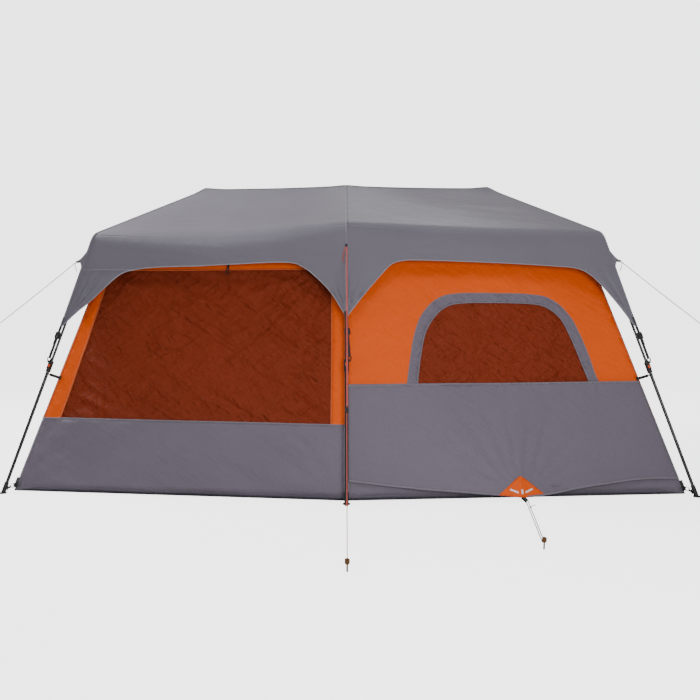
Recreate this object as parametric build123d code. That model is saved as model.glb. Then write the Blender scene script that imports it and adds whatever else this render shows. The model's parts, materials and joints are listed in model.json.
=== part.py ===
"""Six-leg, two-room pop up cabin tent: folding steel frame, wall panels, floor, fly, guys and pegs.

Millimetres. X runs along the long side, the front faces -Y, Z is up, the ground is Z = 0.
"""
from build123d import *
import math
import os

os.makedirs("parts", exist_ok=True)

# Frame layout
RIDGE_HALF = 1120  # centre hub to end hub
HUB_Z = 2140  # pivots of the centre hub
END_HUB_Z = 2115  # pivots of the end hubs
CORNER_EAVE = (1690, 1080, 1660)  # where a corner roof arm meets its leg
MID_EAVE = (0, 1220, 1710)
CORNER_FOOT = (2185, 1430)
MID_FOOT = (0, 1680)
PIVOT_OUT = 45  # pivots from the middle of a hub
RIDGE_OFF = 14  # a ridge pole's middle hinge below its axis
ELBOW_OFF = 15  # elbow pivot from the axes of its arm and leg

# Joints
PIN_D = 6
PIN_FIT = 0.05  # running clearance around a pin
CHEEK_T = 5
HUB_GAP = 10.6  # between the two cheeks of a hub's ear
HUB_TONGUE_T = 10
ELBOW_GAP = 8.6
ELBOW_TONGUE_T = 8
EAR_R = 12  # rounded end of every cheek and tongue
TUBE_START = 32  # a tube begins this far from its pivot
TONGUE_FAR = 45  # an elbow's tongue ends here, which clears the other tube's socket when folded

# Tubes and their fittings, heights along the leg from its foot
ARM_D = 18
UPPER_D = 16
LOWER_D = 20
TUBE_WALL = 1.2
LOWER_BOTTOM = 16
LOWER_TOP = 860
UPPER_IN = 120  # upper tube held inside the lower one
COLLAR_D = 31
COLLAR_BOTTOM = 812
COLLAR_TOP = 886
BUTTON_Z = 852
BUTTON_OUT = 25.5  # button's face from the leg's axis
BUTTON_TRAVEL = 3
POCKET_FLOOR = 14
BOSS_OUT = 22
LUG_Y = 20.5  # strap lug's hole beside the leg's axis
LUG_Z = 879
BOOT_D = 27
BOOT_TOP = 72
FOOT_R = 23

# Wall panels
CLOTH = 1.2
WALL_CORNER_X = 2110  # wall corner at the ground
WALL_CORNER_Y = 1360
WALL_MID_Y = 1600  # wall at a middle leg, at the ground
LEAN_X = 0.2988  # how far an end wall leans in for each unit of height
LEAN_Y = 0.2692
BULGE = (WALL_MID_Y - WALL_CORNER_Y) / WALL_CORNER_X
EAVE_Z = 1640  # top of a wall at a corner
EAVE_MID_Z = 1690
TUB_H = 150
SEAM = 2  # between panels that are sewn together
CEILING_END = (1095, 2068)
CEILING_MID_Z = 2092

# Openings of the walls, corners as (x, z)
BIG_WINDOW = [(-1872, 504), (-94, 504), (-94, 1455), (-1596, 1455)]
ROUND_WINDOW = [
    (380, 702),
    (1608, 719),
    (1590, 900),
    (1535, 1025),
    (1450, 1150),
    (1330, 1235),
    (1190, 1270),
    (670, 1270),
    (600, 1245),
    (530, 1175),
    (470, 1080),
    (425, 920),
]
DOOR = [
    (-1929, 172),
    (-1110, 172),
    (-985, 300),
    (-950, 900),
    (-1010, 1200),
    (-1150, 1390),
    (-1330, 1470),
    (-1541, 1470),
]
END_WINDOW = [(-760, 640), (760, 640), (600, 1330), (-600, 1330)]
ZIP_START = (-790, 1466)  # curtain's zip slider, where its two zips meet

# Skirt under the round window
SKIRT_TOP_Z = 697
SKIRT_LOW_Z = 108
SKIRT_TIP = (1090, 1596, 26)

# Fly
FLY_CORNER_OUT = 24  # outside a corner leg's axis, both ways
FLY_MID_OUT = 36
FLY_UP = 24
FLY_RIDGE_Z = 2183
FLY_END = (1138, 2159)
BAND_Z = 1478  # seam above the hem's arches
CORNER_TIP_Z = 1080
MID_TIP_Z = 1115
GUSSET = 330  # width of a corner gusset at the seam

# Cords and pegs
GUY_D = 3
GUY_TOP = (0, -1296, 1578)
GUY_PEG = (0, -2955)
GUY_LOW = (0, -2940, 34)
SIDE_GUY_TOP = (1812, -1154, 1487)
SIDE_GUY_END = (2350, -1250, 1030)
TAB_Z = (1566, 1452)  # side tab's ends on the corner seam
TAB_TIP = (1806, 1152, 1492)
SKIRT_PEG = (950, -2590)
SKIRT_CORD_TOP = (1088, -1622, 14)
SKIRT_CORD_LOW = (951, -2575, 30)

LEGS = [
    "front_left",
    "front_mid",
    "front_right",
    "rear_left",
    "rear_mid",
    "rear_right",
]
UP = Vector(0, 0, 1)


def signs(leg):
    """Signs of X and Y for a leg's name."""
    sx = -1 if "left" in leg else 1 if "right" in leg else 0
    sy = -1 if "front" in leg else 1
    return sx, sy


def eave_point(leg):
    sx, sy = signs(leg)
    x, y, z = CORNER_EAVE if sx else MID_EAVE
    return Vector(sx * x, sy * y, z)


def foot_point(leg):
    sx, sy = signs(leg)
    x, y = CORNER_FOOT if sx else MID_FOOT
    return Vector(sx * x, sy * y, 0)


def hub_centre(sx):
    """Middle of the left, centre or right hub, for sx of -1, 0 or 1."""
    return Vector(sx * RIDGE_HALF, 0, END_HUB_Z if sx else HUB_Z)


def arm_way(leg):
    """Level direction from a hub towards this leg's eave."""
    away = eave_point(leg) - hub_centre(signs(leg)[0])
    return Vector(away.X, away.Y, 0).normalized()


def arm_pivot(leg):
    """Where this leg's roof arm turns on its hub."""
    return hub_centre(signs(leg)[0]) + arm_way(leg) * PIVOT_OUT


def arm_axis(leg):
    """Level axis that the roof arm turns about, for a turn that raises it."""
    return arm_way(leg).cross(UP)


def ridge_line(sx):
    """A ridge pole's two end pivots, its direction outwards and its middle hinge."""
    inner = Vector(sx * PIVOT_OUT, 0, HUB_Z)
    outer = hub_centre(sx) - Vector(sx * PIVOT_OUT, 0, 0)
    along = (outer - inner).normalized()
    below = Vector(0, sx, 0).cross(along)
    return inner, outer, along, (inner + outer) * 0.5 + below * RIDGE_OFF


def elbow(leg):
    """The elbow's pivot and axis, and the directions back along the arm and down the leg."""
    eave = eave_point(leg)
    back = (arm_pivot(leg) - eave).normalized()
    down = (foot_point(leg) - eave).normalized()
    half = math.acos(back.dot(down)) / 2
    inward = (back + down).normalized()
    pivot = eave + inward * (ELBOW_OFF / math.sin(half))
    return pivot, down.cross(back).normalized(), back, down


def on_leg(leg, height, out=0.0, across=0.0):
    """Point at this height along the leg; out is towards the button, across is beside it."""
    up, front, beside = leg_axes(leg)
    return foot_point(leg) + up * height + front * out + beside * across


def leg_axes(leg):
    sy = signs(leg)[1]
    up = (eave_point(leg) - foot_point(leg)).normalized()
    beside = up.cross(Vector(0, sy, 0)).normalized()
    return up, beside.cross(up).normalized(), beside


def leg_plane(leg, height):
    """Plane across the leg; its X points to the button."""
    up, front, _ = leg_axes(leg)
    return Plane(origin=on_leg(leg, height), x_dir=front, z_dir=up)


def save(shape, name):
    export_step(shape, f"parts/{name}.step")


def together(solids):
    return Compound(children=list(solids))


def rod(start, end, d):
    plane = Plane(origin=start, z_dir=(end - start))
    return extrude(plane * Circle(d / 2), amount=(end - start).length)


def tube(start, end, d):
    plane = Plane(origin=start, z_dir=(end - start))
    ring = Circle(d / 2) - Circle(d / 2 - TUBE_WALL)
    return extrude(plane * ring, amount=(end - start).length)


def ring(centre, axis, radius, wire):
    return Plane(origin=centre, z_dir=axis) * Torus(radius, wire)


def ear(pivot, along, axis, across, half, thickness, shift=0.0, near=30, far=70):
    """Flat lug, round at the pivot and square where it meets a tube that runs along."""
    plane = Plane(origin=pivot + axis * (shift - thickness / 2), x_dir=along, z_dir=axis)
    round_end = Circle(EAR_R)
    square_end = Pos((near + far) / 2, across) * Rectangle(far - near, 2 * half)
    outline = make_hull(round_end.edges() + square_end.edges())
    return extrude(plane * outline, amount=thickness)


def pin(pivot, axis, length, d=PIN_D):
    return rod(pivot - axis * (length / 2), pivot + axis * (length / 2), d)


def block(plane, x, y, z):
    """Box between these limits, each a pair, in a plane's own directions."""
    size = (x[1] - x[0], y[1] - y[0], z[1] - z[0])
    centre = Pos((x[0] + x[1]) / 2, (y[0] + y[1]) / 2, (z[0] + z[1]) / 2)
    return plane * centre * Box(*size)


def sheet(points, outward, thickness=CLOTH, sink=0.0):
    """Flat cloth on these corners, its thickness on the outward side."""
    face = Face(Wire.make_polygon(points, close=True))
    normal = face.normal_at()
    if normal.dot(outward) < 0:
        normal = normal * -1
    if sink:
        face = Face(Wire.make_polygon([p - normal * sink for p in points], close=True))
    return extrude(face, amount=thickness + 2 * sink, dir=normal)


def drawn_in(points, amount=6.0):
    """The same corners, each moved towards their middle, which leaves a seam."""
    middle = sum(points, Vector(0, 0, 0)) * (1 / len(points))
    return [p + (middle - p).normalized() * amount for p in points]


def strap(start, end, width, face_to, thickness=1.5):
    """Straight piece of webbing; its flat side faces face_to."""
    along = (end - start).normalized()
    beside = along.cross(face_to).normalized() * (width / 2)
    points = [start - beside, end - beside, end + beside, start + beside]
    return sheet(points, face_to, thickness)


def hub(centre, ways):
    """Hub with a pair of ears and a rivet for each pole that turns on it."""
    shape = Pos(*centre) * Cylinder(28, 32)
    shape += Pos(*(centre + UP * 21)) * Cylinder(23, 10)
    shift = (HUB_GAP + CHEEK_T) / 2
    for way in ways:
        axis = way.cross(UP)
        pivot = centre + way * PIVOT_OUT
        for side in (-1, 1):
            shape += ear(pivot, way * -1, axis, 0, 12, CHEEK_T, side * shift, 14, 30)
        shape += pin(pivot, axis, HUB_GAP + 2 * CHEEK_T + 3)
    return shape


def save_hubs():
    east = Vector(1, 0, 0)
    mids = [arm_way("front_mid"), arm_way("rear_mid")]
    save(hub(hub_centre(0), [east, east * -1, *mids]), "hub_center")
    for sx, name in ((-1, "left"), (1, "right")):
        ways = [east * -sx, arm_way(f"front_{name}"), arm_way(f"rear_{name}")]
        save(hub(hub_centre(sx), ways), f"hub_{name}")


def save_ridge_poles():
    axis = Vector(0, 1, 0)
    for sx, name in ((-1, "left"), (1, "right")):
        inner, outer, along, hinge = ridge_line(sx)
        middle = (inner + outer) * 0.5
        across = (middle - hinge).dot(axis.cross(along))
        pole = tube(inner + along * TUBE_START, middle - along * TUBE_START, ARM_D)
        pole += ear(inner, along, axis, 0, 8.9, HUB_TONGUE_T)
        pole -= pin(inner, axis, 40, PIN_D + 2 * PIN_FIT)
        pole += rod(middle - along * 80, middle - along * 30, 24)
        shift = (ELBOW_GAP + CHEEK_T) / 2
        for side in (-1, 1):
            pole += ear(hinge, along * -1, axis, -across, 9, CHEEK_T, side * shift)
        pole += pin(hinge, axis, ELBOW_GAP + 2 * CHEEK_T + 3)
        save(pole, f"ridge_inner_{name}")
        pole = tube(middle + along * TUBE_START, outer - along * TUBE_START, ARM_D)
        pole += ear(outer, along * -1, axis, 0, 8.9, HUB_TONGUE_T)
        pole -= pin(outer, axis, 40, PIN_D + 2 * PIN_FIT)
        pole += ear(hinge, along, axis, across, 8.9, ELBOW_TONGUE_T, far=TONGUE_FAR)
        pole -= pin(hinge, axis, 40, PIN_D + 2 * PIN_FIT)
        save(pole, f"ridge_outer_{name}")


def save_roof_arm(leg):
    start = arm_pivot(leg)
    pivot, axis, back, _ = elbow(leg)
    foot_of = eave_point(leg) + back * (pivot - eave_point(leg)).dot(back)
    turn = arm_axis(leg)
    along = back * -1
    arm = tube(start + along * TUBE_START, foot_of + back * TUBE_START, ARM_D)
    arm += ear(start, along, turn, 0, 8.9, HUB_TONGUE_T)
    arm -= pin(start, turn, 40, PIN_D + 2 * PIN_FIT)
    arm += rod(foot_of + back * 30, foot_of + back * 80, 24)
    beside = axis.cross(back)
    across = (foot_of - pivot).dot(beside)
    shift = (ELBOW_GAP + CHEEK_T) / 2
    for side in (-1, 1):
        arm += ear(pivot, back, axis, across, 9, CHEEK_T, side * shift)
    arm += pin(pivot, axis, ELBOW_GAP + 2 * CHEEK_T + 3)
    save(arm, f"roof_arm_{leg}")


def save_upper_leg(leg):
    pivot, axis, _, down = elbow(leg)
    foot_of = eave_point(leg) + down * (pivot - eave_point(leg)).dot(down)
    leg_tube = tube(foot_of + down * TUBE_START, on_leg(leg, LOWER_TOP - UPPER_IN), UPPER_D)
    beside = axis.cross(down)
    across = (foot_of - pivot).dot(beside)
    leg_tube += ear(pivot, down, axis, across, 7.9, ELBOW_TONGUE_T, far=TONGUE_FAR)
    leg_tube -= pin(pivot, axis, 40, PIN_D + 2 * PIN_FIT)
    save(leg_tube, f"leg_upper_{leg}")


def save_lower_leg(leg):
    save(tube(on_leg(leg, LOWER_BOTTOM), on_leg(leg, LOWER_TOP), LOWER_D), f"leg_lower_{leg}")
    plane = leg_plane(leg, 0)
    sx, sy = signs(leg)
    lug_side = sx * -sy if sx else 1
    collar = rod(on_leg(leg, COLLAR_BOTTOM), on_leg(leg, COLLAR_TOP), COLLAR_D)
    collar += block(plane, (0, BOSS_OUT), (-11, 11), (BUTTON_Z - 19, BUTTON_Z + 19))
    lug_y = sorted((lug_side * 8, lug_side * (LUG_Y + 6.5)))
    collar += block(plane, (-2, 2), lug_y, (LUG_Z - 7, COLLAR_TOP))
    collar -= rod(on_leg(leg, 700), on_leg(leg, LOWER_TOP + 0.3), LOWER_D + 0.2)
    collar -= rod(on_leg(leg, 700), on_leg(leg, 1000), UPPER_D + 0.8)
    collar -= block(plane, (POCKET_FLOOR, 40), (-6.4, 6.4), (BUTTON_Z - 9.9, BUTTON_Z + 9.9))
    hole = on_leg(leg, LUG_Z, 0, lug_side * LUG_Y)
    front = leg_axes(leg)[1]
    collar -= rod(hole - front * 10, hole + front * 10, 8)
    foot = rod(on_leg(leg, -12), on_leg(leg, BOOT_TOP), BOOT_D)
    foot += Pos(*(foot_point(leg) + UP * 3)) * Cylinder(FOOT_R, 6)
    out = Vector(sx, sy, 0).normalized()
    eye = foot_point(leg) + out * 34
    foot += Plane(origin=foot_point(leg) + out * 26 + UP * 2, x_dir=out) * Box(24, 22, 4)
    foot += Pos(*(eye + UP * 2)) * Cylinder(11, 4)
    foot -= Pos(*(eye + UP * 2)) * Cylinder(4.5, 20)
    foot -= rod(on_leg(leg, LOWER_BOTTOM), on_leg(leg, 200), LOWER_D + 0.2)
    foot -= Pos(*(foot_point(leg) - UP * 30)) * Box(120, 120, 60)
    save(together([*collar.solids(), *foot.solids()]), f"leg_fittings_{leg}")
    button_x = (POCKET_FLOOR + BUTTON_TRAVEL + 0.3, BUTTON_OUT)
    button = block(plane, button_x, (-6, 6), (BUTTON_Z - 9.5, BUTTON_Z + 9.5))
    button = chamfer(button.edges().filter_by(Axis(on_leg(leg, 0), leg_axes(leg)[1])), 1.5)
    save(button, f"button_{leg}")


def wall_at(x, z, sy):
    """Point on the front or rear wall's plane."""
    return Vector(x, sy * (WALL_MID_Y - BULGE * abs(x) - LEAN_Y * z), z)


def corner_x(z):
    return WALL_CORNER_X - LEAN_X * z


def end_at(y, z, sx):
    return Vector(sx * corner_x(z), y, z)


def corner_y(z):
    return WALL_MID_Y - BULGE * corner_x(z) - LEAN_Y * z


def long_wall(sx, sy, low):
    """Corners of one half of the front or rear wall, from height low up to the eave."""
    return [
        wall_at(sx * (corner_x(low) - SEAM), low, sy),
        wall_at(sx * SEAM, low, sy),
        wall_at(sx * SEAM, EAVE_MID_Z, sy),
        wall_at(sx * (corner_x(EAVE_Z) - SEAM), EAVE_Z, sy),
    ]


def end_wall(sx, low, high):
    y_low = corner_y(low) - SEAM
    y_high = corner_y(high) - SEAM
    return [
        end_at(-y_low, low, sx),
        end_at(y_low, low, sx),
        end_at(y_high, high, sx),
        end_at(-y_high, high, sx),
    ]


def save_walls():
    low = TUB_H + SEAM
    for sx, sy, name, opening, fill in (
        (-1, -1, "wall_front_left", BIG_WINDOW, "window_front_left"),
        (1, -1, "wall_front_right", ROUND_WINDOW, "window_front_right"),
        (-1, 1, "wall_rear_left", DOOR, "door_panel"),
        (1, 1, "wall_rear_right", None, None),
    ):
        outward = Vector(0, sy, 0)
        wall = sheet(long_wall(sx, sy, low), outward)
        if opening:
            points = [wall_at(x, z, sy) for x, z in opening]
            wall -= sheet(points, outward, sink=8)
            save(sheet(drawn_in(points, 7), outward), fill)
        save(wall, name)
    panes = []
    for sx, name in ((-1, "wall_end_left"), (1, "wall_end_right")):
        outward = Vector(sx, 0, 0)
        points = [end_at(y, z, sx) for y, z in END_WINDOW]
        wall = sheet(end_wall(sx, low, EAVE_Z), outward) - sheet(points, outward, sink=8)
        save(wall, name)
        panes.append(sheet(drawn_in(points, 7), outward))
    save(together(panes), "windows_end")


def save_tub_and_floor():
    sides = []
    for sy in (-1, 1):
        for sx in (-1, 1):
            points = [
                wall_at(sx * (corner_x(0) - SEAM), 0, sy),
                wall_at(sx * SEAM, 0, sy),
                wall_at(sx * SEAM, TUB_H, sy),
                wall_at(sx * (corner_x(TUB_H) - SEAM), TUB_H, sy),
            ]
            sides.append(sheet(points, Vector(0, sy, 0)))
    for sx in (-1, 1):
        sides.append(sheet(end_wall(sx, 0, TUB_H), Vector(sx, 0, 0)))
    cut = Pos(0, 0, -25) * Box(6000, 6000, 50)
    sides = [solid for side in sides for solid in (side - cut).solids()]
    save(together(sides), "tub_wall")
    for sy, name in ((-1, "floor_front"), (1, "floor_rear")):
        edge = 8
        points = [
            Vector(-WALL_CORNER_X + edge, sy * 1, 0),
            Vector(WALL_CORNER_X - edge, sy * 1, 0),
            Vector(WALL_CORNER_X - edge, sy * (WALL_CORNER_Y - edge), 0),
            Vector(0, sy * (WALL_MID_Y - edge), 0),
            Vector(-WALL_CORNER_X + edge, sy * (WALL_CORNER_Y - edge), 0),
        ]
        save(sheet(points, UP), name)


def save_ceiling():
    panels = []
    top = Vector(0, 0, CEILING_MID_Z)
    for sx in (-1, 1):
        end = Vector(sx * CEILING_END[0], 0, CEILING_END[1])
        corners = [wall_at(sx * corner_x(EAVE_Z), EAVE_Z, sy) for sy in (-1, 1)]
        for sy, corner in zip((-1, 1), corners):
            mid = wall_at(0, EAVE_MID_Z, sy)
            panels.append(sheet(drawn_in([end, top, mid]), UP))
            panels.append(sheet(drawn_in([end, mid, corner]), UP))
        panels.append(sheet(drawn_in([end, *corners]), UP))
    save(together(panels), "mesh_ceiling")


def fly_corner(sx, sy, z):
    """Point on the fly's corner seam, outside a corner leg."""
    leg = f"{'front' if sy < 0 else 'rear'}_{'left' if sx < 0 else 'right'}"
    eave = eave_point(leg)
    along = foot_point(leg) - eave
    point = eave + along * ((eave.Z - z) / eave.Z)
    return point + Vector(sx * FLY_CORNER_OUT, sy * FLY_CORNER_OUT, 0)


def fly_front(x, z, sx, sy):
    """Point on one half of the front or rear valance, at this x and z."""
    high = fly_corner(sx, sy, CORNER_EAVE[2] + FLY_UP)
    low = fly_corner(sx, sy, CORNER_TIP_Z)
    mid = Vector(0, sy * (MID_EAVE[1] + FLY_MID_OUT), MID_EAVE[2] + FLY_UP)
    n = (mid - high).cross(low - high)
    y = high.Y - (n.X * (x - high.X) + n.Z * (z - high.Z)) / n.Y
    return Vector(x, y, z)


def fly_end(y, z, sx):
    edge = fly_corner(sx, 1, z)
    return Vector(edge.X, y, z)


def save_fly():
    panels = []
    top = Vector(0, 0, FLY_RIDGE_Z)
    eave_z = CORNER_EAVE[2] + FLY_UP
    mid_z = MID_EAVE[2] + FLY_UP
    for sx in (-1, 1):
        end = Vector(sx * FLY_END[0], 0, FLY_END[1])
        corners = [fly_corner(sx, sy, eave_z) for sy in (-1, 1)]
        panels.append(sheet(drawn_in([end, *corners]), UP))
        band_y = abs(fly_corner(sx, 1, BAND_Z).Y)
        tip_y = abs(fly_corner(sx, 1, CORNER_TIP_Z).Y)
        eave_y = abs(corners[0].Y)
        band = [
            fly_end(-eave_y, eave_z, sx),
            fly_end(eave_y, eave_z, sx),
            fly_end(band_y, BAND_Z, sx),
            fly_end(-band_y, BAND_Z, sx),
        ]
        panels.append(sheet(drawn_in(band, 3), Vector(sx, 0, 0)))
        for sy, corner in zip((-1, 1), corners):
            mid = fly_front(0, mid_z, sx, sy)
            panels.append(sheet(drawn_in([end, top, mid]), UP))
            panels.append(sheet(drawn_in([end, mid, corner]), UP))
            gusset = [
                fly_end(sy * band_y, BAND_Z, sx),
                fly_end(sy * tip_y, CORNER_TIP_Z, sx),
                fly_end(sy * (band_y - GUSSET), BAND_Z, sx),
            ]
            panels.append(sheet(drawn_in(gusset, 5), Vector(sx, 0, 0)))
            band_x = fly_corner(sx, sy, BAND_Z).X
            outward = Vector(0, sy, 0)
            band = [
                corner,
                mid,
                fly_front(0, BAND_Z, sx, sy),
                fly_front(band_x, BAND_Z, sx, sy),
            ]
            panels.append(sheet(drawn_in(band, 3), outward))
            gusset = [
                fly_front(band_x, BAND_Z, sx, sy),
                fly_front(fly_corner(sx, sy, CORNER_TIP_Z).X, CORNER_TIP_Z, sx, sy),
                fly_front(band_x - sx * GUSSET, BAND_Z, sx, sy),
            ]
            panels.append(sheet(drawn_in(gusset, 5), outward))
            tongue = [
                fly_front(0, BAND_Z, sx, sy),
                fly_front(0, MID_TIP_Z, sx, sy),
                fly_front(sx * GUSSET, BAND_Z, sx, sy),
            ]
            panels.append(sheet(drawn_in(tongue, 5), outward))
            tip = Vector(sx * TAB_TIP[0], sy * TAB_TIP[1], TAB_TIP[2])
            tab = [fly_corner(sx, sy, TAB_Z[0]), fly_corner(sx, sy, TAB_Z[1]), tip]
            panels.append(sheet([p + Vector(sx * 3, 0, 0) for p in tab], outward))
    save(together(panels), "rain_fly")


def save_skirt():
    outward = Vector(0, -1, 0)
    off = outward * 9

    def on_wall(x, z):
        return wall_at(x, z, -1) + off

    x_end = corner_x(SKIRT_LOW_Z) - 20
    top_left = on_wall(14, SKIRT_TOP_Z)
    top_right = on_wall(corner_x(SKIRT_TOP_Z) - 12, SKIRT_TOP_Z)
    low_left = on_wall(14, SKIRT_LOW_Z)
    low_right = on_wall(x_end, SKIRT_LOW_Z)
    tip = Vector(SKIRT_TIP[0], -SKIRT_TIP[1], SKIRT_TIP[2])
    middle = on_wall(SKIRT_TIP[0], SKIRT_TOP_Z)
    facets = [
        [top_left, low_left, tip],
        [top_left, tip, middle],
        [middle, tip, top_right],
        [top_right, tip, low_right],
    ]
    save(together([sheet(drawn_in(f, 5), outward) for f in facets]), "skirt_front_right")


def save_hardware():
    hooks = []
    straps = []
    rings = []
    for leg in LEGS:
        sx, sy = signs(leg)
        up, front, beside = leg_axes(leg)
        hook_at = on_leg(leg, 800)
        wall = wall_at(sx * corner_x(hook_at.Z) * 0.99, hook_at.Z, sy)
        way = (wall - hook_at).normalized()
        way = (way - up * way.dot(up)).normalized()
        reach = (wall - hook_at).dot(way)
        hooks.append(ring(hook_at, up, 12.6, 2))
        hooks.append(strap(hook_at + way * 15.2, hook_at + way * (reach - 8), 20, up.cross(way)))
        lug_side = sx * -sy if sx else 1
        link = on_leg(leg, COLLAR_TOP, 0, lug_side * LUG_Y)
        straps.append(ring(link, beside, 7, 1.4))
        if sx:
            tip = fly_corner(sx, sy, CORNER_TIP_Z)
        else:
            tip = fly_front(0, MID_TIP_Z, 1, sy)
        start = link + up * 9.4
        end = tip - up * 12
        along = end - start
        flat = (front - along.normalized() * front.dot(along.normalized())).normalized()
        straps.append(strap(start, start + along * 0.66, 15, flat))
        buckle = Plane(origin=start + along * 0.76, x_dir=along.cross(flat), z_dir=flat)
        straps.append(buckle * Box(24, along.length * 0.16, 4))
        straps.append(strap(start + along * 0.86, end, 15, flat))
        boot = on_leg(leg, 42)
        corner = wall_at(sx * (corner_x(boot.Z) - 4), boot.Z, sy)
        out = (boot - corner).normalized()
        length = (boot - corner).length
        side = out.cross(UP).normalized()
        rings.append(strap(corner + out * 9, corner + out * 30, 25, side))
        rings.append(ring(corner + out * 45.5, side, 12, 1.8))
        rings.append(strap(corner + out * 60.5, corner + out * (length - 19), 12, side))
    save(together(hooks + rings), "wall_ties")
    save(together(straps), "fly_straps")


def save_zip():
    normal = Vector(-BULGE, -1, LEAN_Y).normalized()
    at = wall_at(ZIP_START[0], ZIP_START[1], -1) + normal * (CLOTH + 2)
    plane = Plane(origin=at, x_dir=Vector(1, -BULGE, 0), z_dir=normal)
    slider = block(plane, (-4.5, 4.5), (-6, 6), (-1.5, 1.5))
    slider += block(plane, (-2.5, 2.5), (-42, -4), (-0.8, 0.8))
    save(slider, "window_zip_slider")


def peg(x, y, lean):
    """Peg in the ground, the part above it; lean points away from the cord's pull."""
    base = Vector(x, y, 0)
    top = base + (UP + lean * 0.35).normalized() * 46
    shape = rod(base - (top - base) * 0.2, top, 8)
    shape += rod(top, top + (top - base).normalized() * 17, 23)
    shape += rod(base + (top - base) * 0.86, top, 14)
    return shape - Pos(x, y, -30) * Box(100, 100, 60)


def save_cords():
    top = Vector(*GUY_TOP)
    low = Vector(*GUY_LOW)
    save(rod(top, low, GUY_D), "guy_front")
    along = (low - top).normalized()
    at = top + along * ((low - top).length * 0.609)
    plane = Plane(origin=at, x_dir=Vector(1, 0, 0), z_dir=along)
    slider = plane * (Box(17, 6, 42) - Cylinder(GUY_D / 2 + 0.35, 60))
    save(slider, "guy_front_slider")
    sides = []
    for sx in (-1, 1):
        start = Vector(sx * SIDE_GUY_TOP[0], SIDE_GUY_TOP[1], SIDE_GUY_TOP[2])
        end = Vector(sx * SIDE_GUY_END[0], SIDE_GUY_END[1], SIDE_GUY_END[2])
        way = (end - start).normalized()
        sides.append(rod(start, end, GUY_D) + ring(end + way * 11, Vector(0, 1, 0), 11, 1.5))
    start = Vector(*SKIRT_CORD_TOP)
    end = Vector(*SKIRT_CORD_LOW)
    save(together([*sides, rod(start, end, GUY_D)]), "guy_lines")
    pegs = [
        peg(*GUY_PEG, Vector(0, -1, 0)),
        peg(*SKIRT_PEG, Vector(-0.14, -0.99, 0)),
    ]
    save(together(pegs), "pegs")


save_hubs()
save_ridge_poles()
for leg_name in LEGS:
    save_roof_arm(leg_name)
    save_upper_leg(leg_name)
    save_lower_leg(leg_name)
save_walls()
save_tub_and_floor()
save_ceiling()
save_fly()
save_skirt()
save_hardware()
save_zip()
save_cords()
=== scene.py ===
"""Looks of the six-leg, two-room pop up cabin tent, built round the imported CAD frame.

Metres. The front faces -Y. Cloth is made here as curved sheets. Tubes, hubs, collars, feet, buttons and pegs
are the CAD's.
"""
import json
import math

import bpy
import numpy as np
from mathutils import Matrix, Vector
from mathutils.geometry import delaunay_2d_cdt


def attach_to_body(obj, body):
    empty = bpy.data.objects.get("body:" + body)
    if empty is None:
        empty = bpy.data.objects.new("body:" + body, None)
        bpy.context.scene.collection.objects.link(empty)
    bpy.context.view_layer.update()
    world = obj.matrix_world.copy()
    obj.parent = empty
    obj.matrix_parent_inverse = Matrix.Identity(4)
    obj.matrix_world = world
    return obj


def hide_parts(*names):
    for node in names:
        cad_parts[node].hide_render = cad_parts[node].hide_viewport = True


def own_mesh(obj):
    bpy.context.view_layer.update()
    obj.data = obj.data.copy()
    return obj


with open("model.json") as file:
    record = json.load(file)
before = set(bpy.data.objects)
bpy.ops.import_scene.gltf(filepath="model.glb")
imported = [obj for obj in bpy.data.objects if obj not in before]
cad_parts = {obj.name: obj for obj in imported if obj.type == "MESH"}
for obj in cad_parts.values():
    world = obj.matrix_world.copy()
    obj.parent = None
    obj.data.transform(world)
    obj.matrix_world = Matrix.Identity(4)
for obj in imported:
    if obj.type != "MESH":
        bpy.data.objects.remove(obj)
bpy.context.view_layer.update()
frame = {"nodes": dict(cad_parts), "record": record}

SCENE = bpy.context.scene

# The same sizes as in part.py
CORNER_EAVE = (1.690, 1.080, 1.660)
MID_EAVE = (0.0, 1.220, 1.710)
CORNER_FOOT = (2.185, 1.430)
MID_FOOT = (0.0, 1.680)
WALL_TOP, WALL_TOP_MID = 1.640, 1.690
TUB_TOP = 0.150
FLY_RIDGE = (0.0, 0.0, 2.183)
FLY_END = (1.138, 0.0, 2.159)
FLY_MID = (0.0, 1.256, 1.734)
CORNER_TIP, MID_TIP = 1.080, 1.115
LEGS = ("front_left", "front_mid", "front_right", "rear_left", "rear_mid", "rear_right")

# The cloth stands up to 36 mm outside its solids at the tub's corners, where the ties pull it
WALL_CORNER_X, WALL_CORNER_Y, WALL_MID_Y = 2.146, 1.356, 1.600
LEAN_X, LEAN_Y = 0.3208, 0.2692
BULGE = (WALL_MID_Y - WALL_CORNER_Y) / WALL_CORNER_X

# How far the fly's corner seam stands outside the leg and above it at the eave, and how much less at its tip
FLY_OUT, FLY_UP, FLY_IN = 0.024, 0.024, 0.007
EAVE_Z = CORNER_EAVE[2] + FLY_UP

# How far up the leg the collar's link, the wall's hook and the foot's strap are
LINK_UP, LINK_SIDE, HOOK_UP, BOOT_UP = 0.886, 0.0205, 0.800, 0.042

GREY_TOP = 0.46  # where the grey lower wall meets the orange one at the rear and the ends
SKIRT_TOP = 0.690  # where they meet on the front right wall
ZIP_Z = 1.46  # the big window's zip runs level here
CEILING_RIDGE, CEILING_END = (0.0, 0.0, 2.092), (1.095, 0.0, 2.068)
ABOVE = 9.0  # higher and further than anything here


# ---------------------------------------------------------------- maths
def vec(*a):
    return np.array(a, float)


def unit(v):
    v = np.asarray(v, float)
    return v / np.linalg.norm(v)


def units(v):
    return v / np.maximum(np.linalg.norm(v, axis=-1, keepdims=True), 1e-12)


def step(a, b, x):
    t = np.clip((x - a) / (b - a), 0, 1)
    return t * t * (3 - 2 * t)


def bell(d, width):
    return np.exp(-((d / width) ** 2))


noise_tables = {}


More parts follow.
